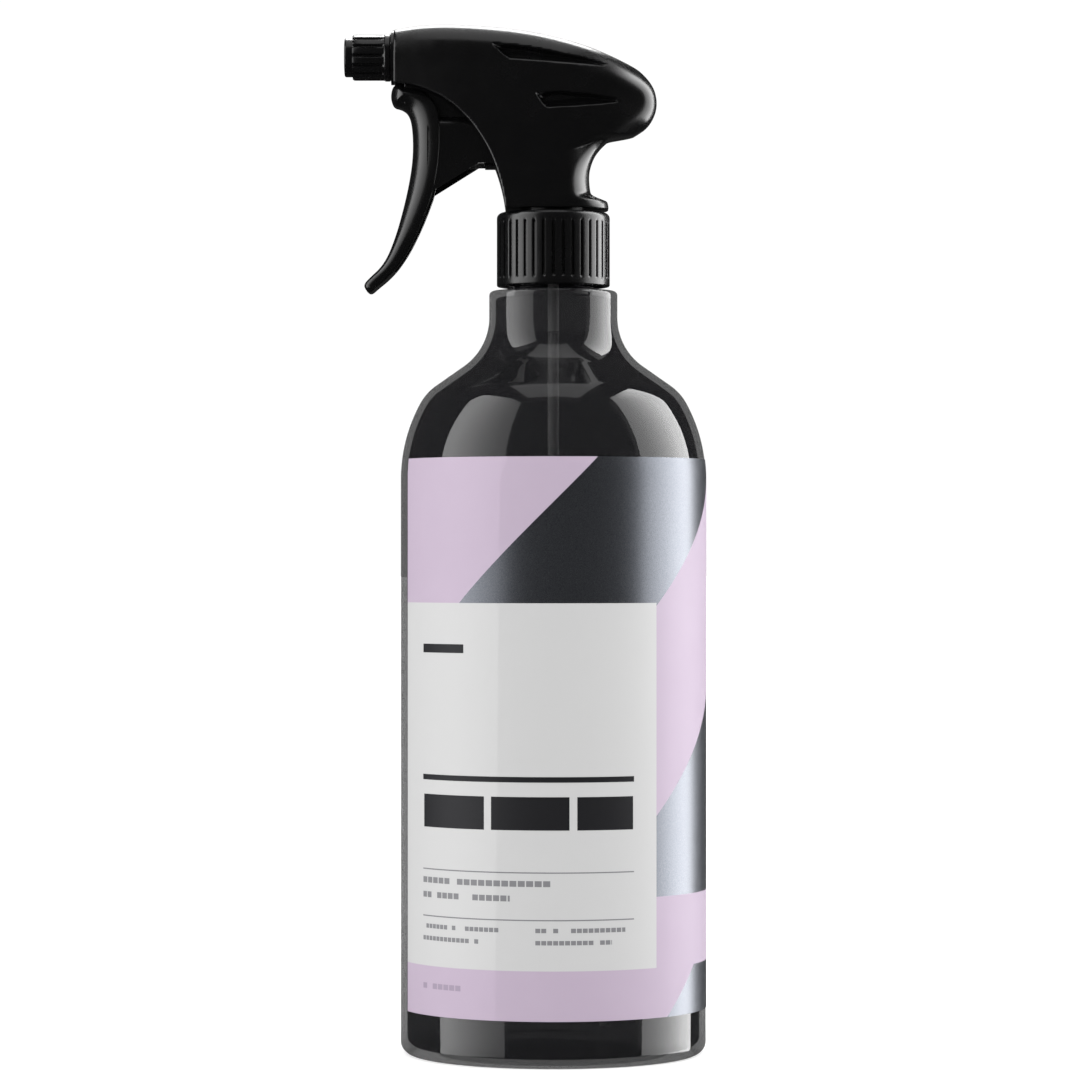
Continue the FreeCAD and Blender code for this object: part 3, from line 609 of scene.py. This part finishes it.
class LabelArt(Paint):
    """The printed pattern. s is the distance round from the middle of the front, h the height, in mm."""

    def __init__(self):
        super().__init__("label_film", (0.6, 0.47, 0.65), 0.5, IOR=1.45, Specular_IOR_Level=0.2)
        parts = self.node("ShaderNodeSeparateXYZ")
        self.feed(parts.inputs[0], self.node("ShaderNodeUVMap", uv_map="wrap").outputs[0])
        length = math.radians(LABEL_WRAP) * BOTTLE_RADIUS
        left = math.radians(LABEL_LEFT) * BOTTLE_RADIUS
        self.s = self.math("ADD", self.math("MULTIPLY", parts.outputs[0], length), left)
        rise = self.math("MULTIPLY", parts.outputs[1], LABEL_TOP - LABEL_BOTTOM)
        self.h = self.math("ADD", rise, LABEL_BOTTOM)

    def over(self, value, limit):
        return self.math("GREATER_THAN", value, limit)

    def under(self, value, limit):
        return self.math("LESS_THAN", value, limit)

    def all_of(self, *masks):
        result = masks[0]
        for mask in masks[1:]:
            result = self.math("MULTIPLY", result, mask)
        return result

    def any_of(self, *masks):
        result = masks[0]
        for mask in masks[1:]:
            result = self.math("MAXIMUM", result, mask)
        return result

    def area(self, left, right, bottom, top):
        return self.all_of(self.over(self.s, left), self.under(self.s, right),
                           self.over(self.h, bottom), self.under(self.h, top))

    def diagonal(self, s, h):
        """How far a point is above the rising line of the pattern through (s, h)."""
        return self.math("SUBTRACT", self.math("SUBTRACT", self.h, self.s), h - s)

    def strokes(self, left, right, bottom, top, pitch, seed):
        """A row of short strokes and gaps, which stands for a line of small print."""
        steps = self.math("MULTIPLY", self.math("SUBTRACT", self.s, left), 1 / pitch)
        cell = self.math("FLOOR", steps)
        chance = self.node("ShaderNodeTexWhiteNoise", noise_dimensions="1D")
        self.feed(chance.inputs["W"], self.math("ADD", cell, seed))
        within = self.math("FRACT", steps)
        drawn = self.all_of(self.over(chance.outputs["Value"], 0.16), self.under(within, 0.84))
        return self.all_of(self.area(left, right, bottom, top), drawn)


def label_material():
    art = LabelArt()
    upper_metal = art.all_of(
        art.under(art.diagonal(12.1, LABEL_TOP), 0), art.over(art.diagonal(31.1, PANEL_TOP), 0))
    middle_metal = art.all_of(art.under(art.diagonal(30.6, 68.2), 0), art.over(art.h, 46))
    lower_metal = art.all_of(art.under(art.diagonal(34.5, LABEL_BOTTOM), 0), art.under(art.h, 26.5))
    metal = art.any_of(upper_metal, middle_metal, lower_metal)
    panel = art.area(-80, PANEL_RIGHT, PANEL_BOTTOM, PANEL_TOP)
    metal = art.all_of(metal, art.math("SUBTRACT", 1.0, panel))
    bold = art.any_of(*[art.area(*place) for place in TITLE_AREAS + [MARK_AREA]])
    print_rows = [art.strokes(*row) for row in PRINT_ROWS]
    small = art.any_of(*print_rows, *[art.area(*place) for place in RULE_AREAS])
    flake = art.noise(FLAKE_SCALE, detail=1.0)
    color = art.mix(art.span(art.noise(60), 0, 1), LILAC, LILAC_SHADE)
    color = art.mix(metal, color, art.mix(art.span(flake, 0.0, 1.0), DARK_METAL, LIGHT_METAL))
    color = art.mix(panel, color, GREY)
    color = art.mix(bold, color, INK)
    color = art.mix(small, color, SOFT_INK)
    color = art.mix(art.strokes(*FAINT_ROW), color, FAINT_INK)
    art.link("Base Color", color)
    art.link("Metallic", art.math("MULTIPLY", metal, 0.88))
    gloss = art.math("ADD", art.math("MULTIPLY", metal, -0.18), art.span(flake, 0.46, 0.54))
    art.link("Roughness", gloss)
    art.bump(flake, 0.12, 0.00002)
    return art.material


def make_label():
    points, faces, maps = label_mesh()
    piece = new_piece("wrap_label", points, faces, "bottle", ["label"], sharp=40)
    layer = piece.data.uv_layers.new(name="wrap")
    corners = np.zeros(len(piece.data.loops), int)
    piece.data.loops.foreach_get("vertex_index", corners)
    layer.data.foreach_set("uv", np.array(maps)[corners].ravel())
    piece.data.materials.append(label_material())


# ---------------------------------------------------------------- closure and nozzle


CLOSURE_RIBS = 36
CLOSURE_RADIUS = 15.75
CLOSURE_ROOF = 1.4
CLOSURE_HOLE = 9.2
CLOSURE_BORE = 14.2
CLOSURE_ROUND = 1.6
CLOSURE_HEM = 0.5
CLOSURE_GROOVE = 0.75
NOZZLE_RIBS = 14
NOZZLE_RADIUS = 6.35
NOZZLE_GROOVE = 0.6
NOZZLE_BORE = 4.4
NOZZLE_FLANGE = 6.6
NOZZLE_CUP = 1.3
ORIFICE = 0.4


def from_groove(angles, count, phase, radius):
    """How far round the skin a point is from the middle of the nearest of count even grooves."""
    across = np.abs((angles * count / (2 * math.pi) + phase) % 1 - 0.5)
    return across * 2 * math.pi * radius / count


def make_closure():
    low, high = node_box("closure_cap")
    radius, bottom, top = CLOSURE_RADIUS, low[2], high[2]

    def grooves(angles, heights, radii):
        width = from_groove(angles, CLOSURE_RIBS, 0.5, radius)
        along = ramp(heights, 215.6, 216.4) * (1 - ramp(heights, 230.8, 231.6))
        return -CLOSURE_GROOVE * (1 - ramp(width, 0.2, 0.5)) * along * (radii > radius - 0.2)

    skin = arc((radius - CLOSURE_HEM, bottom + CLOSURE_HEM), CLOSURE_HEM, -90, 0, 4)
    skin += [(radius, z) for z in (215.2, 215.6, 215.9, 216.15, 216.4)]
    skin += [(radius, z) for z in np.linspace(216.4, 230.8, 10)[1:]]
    skin += [(radius, z) for z in (231.05, 231.3, 231.6, 232.2)]
    skin += arc((radius - CLOSURE_ROUND, top - CLOSURE_ROUND), CLOSURE_ROUND, 0, 90, 9)
    under = top - CLOSURE_ROOF
    skin += [(CLOSURE_HOLE, top), (CLOSURE_HOLE, under), (CLOSURE_BORE, under), (CLOSURE_BORE, bottom)]
    thread = thread_ridge(14.4, 13, 220.6)
    points, faces = merge(lathe(skin, CLOSURE_RIBS * 12, grooves), thread)
    piece = new_piece("closure", points, faces, "closure", ["closure_cap"], sharp=50)
    piece.data.materials.append(satin)


def make_nozzle():
    """The nozzle cap. Known fault: lathe's faces already point outwards here, and reversing them turns the
    piece inside out."""
    low, high = node_box("nozzle_cap")
    front, rear = -low[0], -high[0]
    level = (low[2] + high[2]) / 2
    radius = NOZZLE_RADIUS

    def grooves(angles, heights, radii):
        width = from_groove(angles, NOZZLE_RIBS, 0, radius)
        along = 1 - ramp(-heights, -47.6, -47.1)
        skin_only = (radii > radius - 0.1) * (radii < radius + 0.02)
        return -NOZZLE_GROOVE * (1 - ramp(width, 0.25, 0.5)) * along * skin_only

    flange = NOZZLE_FLANGE
    skin = [(NOZZLE_BORE, rear), (6.4, rear), (flange, rear + 0.2)]
    skin += [(flange, 46.8), (6.4, 47.0), (radius, 47.05)]
    skin += [(radius, x) for x in (47.3, 47.6, 50, 53, 55.4)]
    skin += [(radius - 0.25, 55.9), (5.4, 56.0)]
    skin += arc((4.9, front - 0.5), 0.5, 0, 90, 5)
    cup = front - NOZZLE_CUP
    skin += [(3.3, front), (2.9, front - 0.2), (2.3, cup), (0.9, cup), (0.5, front - 1.1)]
    skin += [(ORIFICE, cup), (ORIFICE, 54), (NOZZLE_BORE, 54)]
    points, faces = lathe(skin, NOZZLE_RIBS * 14, grooves)
    turned = lay_along_minus_x(points, level)
    piece = new_piece("nozzle", turned, [face[::-1] for face in faces], "nozzle",
                      ["nozzle_cap"], sharp=38)
    piece.data.materials.append(gloss)


# ---------------------------------------------------------------- head and trigger


HEAD_SIDE = smooth_outline([
    (-56, 284.2), (-50, 284.9), (-44.4, 285.1), (-36, 286.6), (-24, 286.3), (-8, 284.8), (6, 281.6),
    (16, 278.0), (25.5, 273.4), (30.2, 269.4), (30.9, 263.6), (27.6, 258.6), (20.5, 254.5), (14.9, 250.6),
    (12.3, 245.2), (12.7, 240.4), (13.9, 238.0), (15.4, 237.0), (15.4, 232), (15.4, 200), (-56, 200)])
HEAD_PLAN = smooth_outline([
    (-56, 0), (-56, 7.2), (-45, 8.4), (-32, 10.8), (-18, 12.3), (-4, 12.6), (10, 12.1), (20, 10.2),
    (28.6, 6.6), (30.6, 2.5), (30.6, -2.5), (28.6, -6.6), (20, -10.2), (10, -12.1), (-4, -12.6), (-18, -12.3),
    (-32, -10.8), (-45, -8.4), (-56, -7.2)])
RIM = smooth_outline([
    (-60, 270.6), (-44.4, 269.9), (-38, 268.9), (-31.2, 266.0), (-26, 262.1), (-21.6, 257.2), (-18, 251.5),
    (-15.6, 245.6), (-14.0, 239.6), (-13.2, 234.0), (-13, 225), (40, 225), (40, 295), (-60, 295)], rounds=2)
HEAD_WALL = 1.3
HEAD_FRONT = -44.4
HEAD_FLOOR = 236.5
HEAD_BOTTOM = 234.9
BARREL_LEVEL = 277.55
BARREL_HOLE = 5.05
STEM_HOLE = 9.05
HOLE_DEPTH = 4
VENT_BACKING = 2.4


def beyond(x, z, start, end):
    """How far a point is to the right of the line from start to end."""
    dx, dz = end[0] - start[0], end[1] - start[1]
    return ((x - start[0]) * dz - (z - start[1]) * dx) / math.hypot(dx, dz)


# Each vent's outline, the two ends of its lower edge and its depth.
VENTS = [
    (Outline([
        (-16.9, 280.3), (-14.5, 277.8), (-12.3, 275.8), (0, 275.0), (14.0, 274.1), (14.8, 274.8), (8, 276.4),
        (0, 278.0), (-8, 279.4)]), (-12.3, 275.8), (15, 274.0), 2.2),
    (Outline([
        (-4.9, 266.6), (-3.6, 264.5), (-2.0, 262.4), (6, 262.8), (13, 263.4), (18.6, 264.2), (17.2, 265.2),
        (10, 266.3), (2, 267.0)]), (-2.0, 262.4), (18.6, 264.1), 2.4)]


def vent(inside, rise, depth):
    """A recess with a steep wall above and in front, and a floor that slopes out to its lower edge."""
    return depth * ramp(inside, -0.3, 1.0) * (0.4 + 0.6 * ramp(rise, 0, 2.4))


def thumb_hollow(x, z, spread=0):
    """The pinch for the web of the thumb, under a crease that runs back from the neck."""
    crease = 251.9 + 3.8 * ramp(x, 3, 15) + spread
    return 2.9 * ramp(x, 3.2 - spread, 12.0 - spread) * ramp(crease - z, 0, 1.6) * ramp(z, 237.0, 239.6)


def head_field(x, y, z):
    side = HEAD_SIDE.distance(x, z)
    plan = HEAD_PLAN.distance(x, np.abs(y))
    roll = 5.6 + 3.0 * ramp(-z, -252, -242) + ramp(z, 262, 276) * (3.4 - 1.2 * ramp(-x, 34, 44))
    form = both(side, plan, roll)
    hollows, backing = 0, 0
    for outline, foot, tail, depth in VENTS:
        inside = -outline.distance(x, z)
        hollows = hollows + vent(inside, beyond(x, z, tail, foot), depth)
        backing = backing + VENT_BACKING * ramp(inside, -3.0, -0.6)
    skin = form + (hollows + thumb_hollow(x, z))
    room = form + HEAD_WALL + backing + thumb_hollow(x, z, spread=2)
    room = np.maximum(np.maximum(room, HEAD_FLOOR - z), HEAD_FRONT + HEAD_WALL - x)
    shell = both(skin, -room, 0.25)
    shell = both(shell, RIM.distance(x, z), 0.45)
    shell = both(shell, HEAD_FRONT - x, 0.5)
    shell = both(shell, HEAD_BOTTOM - z, 0.4)
    barrel = np.maximum(np.hypot(y, z - BARREL_LEVEL) - BARREL_HOLE, x - HEAD_FRONT - HOLE_DEPTH)
    stem = np.maximum(np.hypot(x, y) - STEM_HOLE, z - HEAD_FLOOR - HOLE_DEPTH)
    return np.maximum(np.maximum(shell, -barrel), -stem)


def make_head():
    piece = field_piece("head_shroud", head_field, HEAD_STEP, "sprayer", ["shroud"])
    piece.data.materials.append(gloss)


BLADE_FRONT = smooth_outline([
    (-44.4, 270.2), (-45.4, 266.5), (-44.6, 263.6), (-42.2, 263.2), (-40.2, 261.6), (-39.2, 257.4),
    (-39.0, 251), (-39.6, 245), (-41.2, 237), (-43.9, 227), (-47.0, 219.6), (-51.6, 215.4), (-52.8, 213.8),
    (-52.0, 212.2), (-50.4, 211.4), (-20, 205), (-20, 268.6), (-32, 268.8), (-38, 270.2)])
BLADE_REAR = smooth_outline([
    (-70, 280), (-70, 200), (-55, 206), (-51, 211.7), (-45, 216.4), (-40.6, 222.3), (-37, 229.6),
    (-34.7, 235.4), (-33.0, 240.2), (-31.4, 250), (-31.4, 262.0), (-34.6, 266.6), (-39, 269.6),
    (-43, 271.5), (-50, 280)])
WING = [(-35, 238.8), (-33.2, 239.8), (-20.9, 247.5), (-14.6, 247.5), (-14.6, 256.5), (-35, 256.5)]
WING_OUTER = 9.15
WING_INNER = 8.55
WING_TOP = 256.5
WING_BEND = 4.4
WING_THICKNESS = 0.6
BEND_FRONT = -35
BEND_REAR = -20.6
# Dark plates in the gap above the wings. They stand in for the shade there: painted shade as a sheet.
SHADE_PLATE = [(-36, 259.5), (-21, 259.5), (-22.5, 262.5), (-31, 269), (-36, 269)]
SHADE_PLATE_OUTER = 6.85
SHADE_PLATE_INNER = 5.45
PIVOT = (-38, 271)
PIN_RADIUS = 1.5
PIN_INNER = 1.5
EAR_RADIUS = 3.4
EAR_FOOT = 264
EAR_OUTER = 6.9
EAR_INNER = 5.4
KNUCKLE_ROOM = 3.9
KNUCKLE_REACH = 12
PUSHER = (-32.8, 254.5)
PUSHER_RADIUS = 2
PUSHER_HALF = 6
BLADE_WALL = 2.4
BLADE_SKIN = 3.0
HOLLOW_BOTTOM = 218
HOLLOW_TOP = 262


def blade_width(z):
    return 6.4 + 3.1 * ramp(z, 213, 247) - 0.6 * ramp(z, 255, 262)


def trigger_plates():
    """The wings, whose upper edge bends inwards, and the plates that close the gap above them: dark sheets
    that stand in for the shade in that gap.
    """
    centre = (WING_OUTER - WING_BEND, WING_TOP)
    bend = arc(centre, WING_BEND, 0, 80, 13) + arc(centre, WING_BEND - WING_THICKNESS, 80, 0, 13)
    mirrored = [(-y, z) for y, z in bend[::-1]]
    return [
        plate(WING, -WING_OUTER, -WING_INNER), plate(WING, WING_INNER, WING_OUTER),
        plate(SHADE_PLATE, -SHADE_PLATE_OUTER, -SHADE_PLATE_INNER), plate(SHADE_PLATE, SHADE_PLATE_INNER, SHADE_PLATE_OUTER),
        curb(BEND_FRONT, BEND_REAR, bend), curb(BEND_FRONT, BEND_REAR, mirrored)]


def trigger_field(x, y, z):
    side = np.abs(y)
    front = BLADE_FRONT.distance(x, z)
    rear = BLADE_REAR.distance(x, z)
    over_side = side - blade_width(z)
    blade = both(front, over_side, 2.0 + 4.6 * ramp(z, 214, 245))
    blade = both(blade, rear, 0.6)
    hollow = np.maximum(over_side + BLADE_WALL, -rear - BLADE_SKIN)
    hollow = np.maximum(hollow, np.maximum(HOLLOW_BOTTOM - z, z - HOLLOW_TOP))
    blade = both(blade, -hollow, 0.4)
    across = np.abs(x - PIVOT[0])
    rise = z - PIVOT[1]
    reach = np.hypot(x - PIVOT[0], rise)
    web = np.maximum(across - EAR_RADIUS, np.maximum(EAR_FOOT - z, rise))
    ear = both(np.minimum(reach - EAR_RADIUS, web), side - EAR_OUTER, 0.3)
    space = np.minimum(reach - KNUCKLE_ROOM, np.maximum(-rise, across - KNUCKLE_REACH))
    blade = np.maximum(np.minimum(blade, ear), -np.maximum(space, side - EAR_INNER))
    pin = np.maximum(reach - PIN_RADIUS, np.maximum(side - EAR_OUTER, PIN_INNER - side))
    pusher = np.maximum(np.hypot(x - PUSHER[0], z - PUSHER[1]) - PUSHER_RADIUS, side - PUSHER_HALF)
    return np.minimum(np.minimum(blade, pin), pusher)


def make_trigger():
    piece = field_piece("trigger_lever", trigger_field, TRIGGER_STEP, "trigger", ["trigger"],
                        trigger_plates())
    piece.data.materials.append(gloss)


# ---------------------------------------------------------------- studio


CAMERA_DISTANCE = 1200
EYE = 138
AXIS_SHIFT = 4.55
IMAGE_HEIGHT = 303.05
SENSOR = 36
CAMERA_SHIFT = 0.0138
BOX_DISTANCE = 1.2
BOX_LEVEL = 0.82
BOX_HEIGHT = 2.35
FILL_LEVEL = 0.62
OVERHEAD_LEVEL = 1.4
GLOSS_ROOM = 0.035
BACKDROP = 0.985
MATT_ROOM = 0.88
FLOOR_SIZE = 30000


def make_camera():
    data = bpy.data.cameras.new("camera")
    data.sensor_width = SENSOR
    data.lens = SENSOR * CAMERA_DISTANCE / IMAGE_HEIGHT
    data.shift_y = CAMERA_SHIFT
    data.clip_start = 0.05
    data.clip_end = 50
    camera = bpy.data.objects.new("camera", data)
    camera.location = (-AXIS_SHIFT * MM, -CAMERA_DISTANCE * MM, EYE * MM)
    camera.rotation_euler = (math.radians(90), 0, 0)
    bpy.context.scene.collection.objects.link(camera)
    bpy.context.scene.camera = camera


def fade_across(data, first, last):
    """Let an area light go from one brightness at its first upright edge to another at its last."""
    data.use_nodes = True
    nodes, links = data.node_tree.nodes, data.node_tree.links
    place = nodes.new("ShaderNodeNewGeometry")
    parts = nodes.new("ShaderNodeSeparateXYZ")
    level = nodes.new("ShaderNodeMapRange")
    level.interpolation_type = "SMOOTHSTEP"
    level.inputs["To Min"].default_value = first
    level.inputs["To Max"].default_value = last
    links.new(place.outputs["Parametric"], parts.inputs[0])
    links.new(parts.outputs["X"], level.inputs["Value"])
    links.new(level.outputs["Result"], nodes["Emission"].inputs["Strength"])


def soft_box(name, azimuth, height, width, tall, radiance):
    """A soft box that looks at the bottle. Azimuth 0 is at the camera, 90 to its right; sizes in metres."""
    data = bpy.data.lights.new(name, "AREA")
    data.shape = "RECTANGLE"
    data.size = width
    data.size_y = tall
    data.energy = radiance * math.pi * width * tall
    light = bpy.data.objects.new(name, data)
    turn = math.radians(azimuth)
    light.location = (BOX_DISTANCE * math.sin(turn), -BOX_DISTANCE * math.cos(turn), height)
    aim = Vector((0, 0, height)) - light.location
    light.rotation_euler = aim.to_track_quat("-Z", "Y").to_euler()
    light.visible_camera = False
    bpy.context.scene.collection.objects.link(light)
    return light


def overhead(name, back, width, radiance):
    """A soft box that faces straight down, above the bottle or some way behind it."""
    light = soft_box(name, 0, OVERHEAD_LEVEL, width, 1.2, radiance)
    light.location = (0, back, OVERHEAD_LEVEL)
    light.rotation_euler = (0, 0, 0)
    return light


def make_lights():
    """Tall boxes that show only in the gloss, and softer ones for the matt print."""
    right = soft_box("right_box", 97, BOX_LEVEL, 1.28, BOX_HEIGHT, 8.6)
    left = soft_box("left_box", -65, BOX_LEVEL, 1.3, BOX_HEIGHT, 4.4)
    fade_across(right.data, 0.35, 1.0)
    fade_across(left.data, 1.0, 0.3)
    back = overhead("back_box", 1.45, 0.84, 9.0)
    top = overhead("top_box", 0.0, 0.8, 1.0)
    for light in (right, left, back, top):
        light.visible_diffuse = False
    for name, azimuth, radiance in (("right_fill", 90, 2.9), ("left_fill", -65, 3.1)):
        fill = soft_box(name, azimuth, FILL_LEVEL, 1.3, 1.2, radiance)
        fill.visible_glossy = False


def make_world():
    """White behind the object, a soft grey room for matt surfaces, and a dim one in the gloss."""
    world = bpy.data.worlds.new("studio")
    world.use_nodes = True
    nodes, links = world.node_tree.nodes, world.node_tree.links
    background = nodes["Background"]
    path = nodes.new("ShaderNodeLightPath")
    strength = GLOSS_ROOM
    for ray, share in (("Is Camera Ray", BACKDROP), ("Is Diffuse Ray", MATT_ROOM)):
        level = nodes.new("ShaderNodeMath")
        level.operation = "MULTIPLY_ADD"
        links.new(path.outputs[ray], level.inputs[0])
        level.inputs[1].default_value = share
        if isinstance(strength, float):
            level.inputs[2].default_value = strength
        else:
            links.new(strength, level.inputs[2])
        strength = level.outputs[0]
    links.new(strength, background.inputs["Strength"])
    background.inputs["Color"].default_value = (1, 1, 1, 1)
    bpy.context.scene.world = world


def make_floor():
    """White paper under the object. The light of its own, which only the camera sees, is weaker close by."""
    size = FLOOR_SIZE
    points = [(-size, -size, 0), (size, -size, 0), (size, size, 0), (-size, size, 0)]
    mesh = bpy.data.meshes.new("floor")
    mesh.from_pydata((np.array(points) * MM).tolist(), [], [(0, 1, 2, 3)])
    floor = bpy.data.objects.new("floor", mesh)
    bpy.context.scene.collection.objects.link(floor)
    paint = Paint("floor_paper", (0.8, 0.8, 0.8), 0.8, Specular_IOR_Level=0.0)
    paint.set("Emission Color", (1, 1, 1, 1))
    seen = paint.node("ShaderNodeLightPath").outputs["Is Camera Ray"]
    reach = paint.node("ShaderNodeVectorMath", operation="LENGTH")
    paint.feed(reach.inputs[0], paint.place())
    far = paint.node("ShaderNodeMapRange")
    paint.feed(far.inputs["Value"], reach.outputs["Value"])
    for socket, value in (("From Min", 0.05), ("From Max", 0.5), ("To Min", 0.5), ("To Max", 1.0)):
        far.inputs[socket].default_value = value
    paint.link("Emission Strength", paint.math("MULTIPLY", seen, far.outputs["Result"]))
    mesh.materials.append(paint.material)
    floor.visible_glossy = False


# ---------------------------------------------------------------- the object


HEAD_STEP = 0.5
TRIGGER_STEP = 0.4

satin = moulded("satin_black", (0.0025, 0.0025, 0.0028), 0.25, 0.04, 2600, 0.00004, IOR=1.49)
gloss = moulded("gloss_black", (0.0022, 0.0022, 0.0024), 0.24, 0.04, 1900, 0.00002, IOR=1.49)
natural = moulded("natural_plastic", (0.88, 0.88, 0.87), 0.38, 0.05, 1500, 0.00003, IOR=1.5)
soft_seal = moulded("soft_seal", (0.16, 0.16, 0.165), 0.6, 0.05, 2200, 0.00004, IOR=1.45)
steel = brushed("spring_steel", (0.56, 0.56, 0.57))

CAD_FINISH = {
    "pump_body": satin, "neck_gasket": soft_seal, "tube_retainer": natural, "dip_tube": natural,
    "inlet_ball": steel, "piston": natural, "piston_seal": soft_seal, "return_spring": steel,
    "outlet_valve": natural, "outlet_spring": steel, "swirl_insert": natural, "nozzle_washer": soft_seal,
}
for name, finish in CAD_FINISH.items():
    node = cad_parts[name]
    node.data.materials.clear()
    node.data.materials.append(finish)

make_bottle()
make_liquid()
make_label()
make_closure()
make_nozzle()
make_head()
make_trigger()
make_camera()
make_lights()
make_world()
make_floor()
bpy.context.scene.view_settings.view_transform = "Standard"
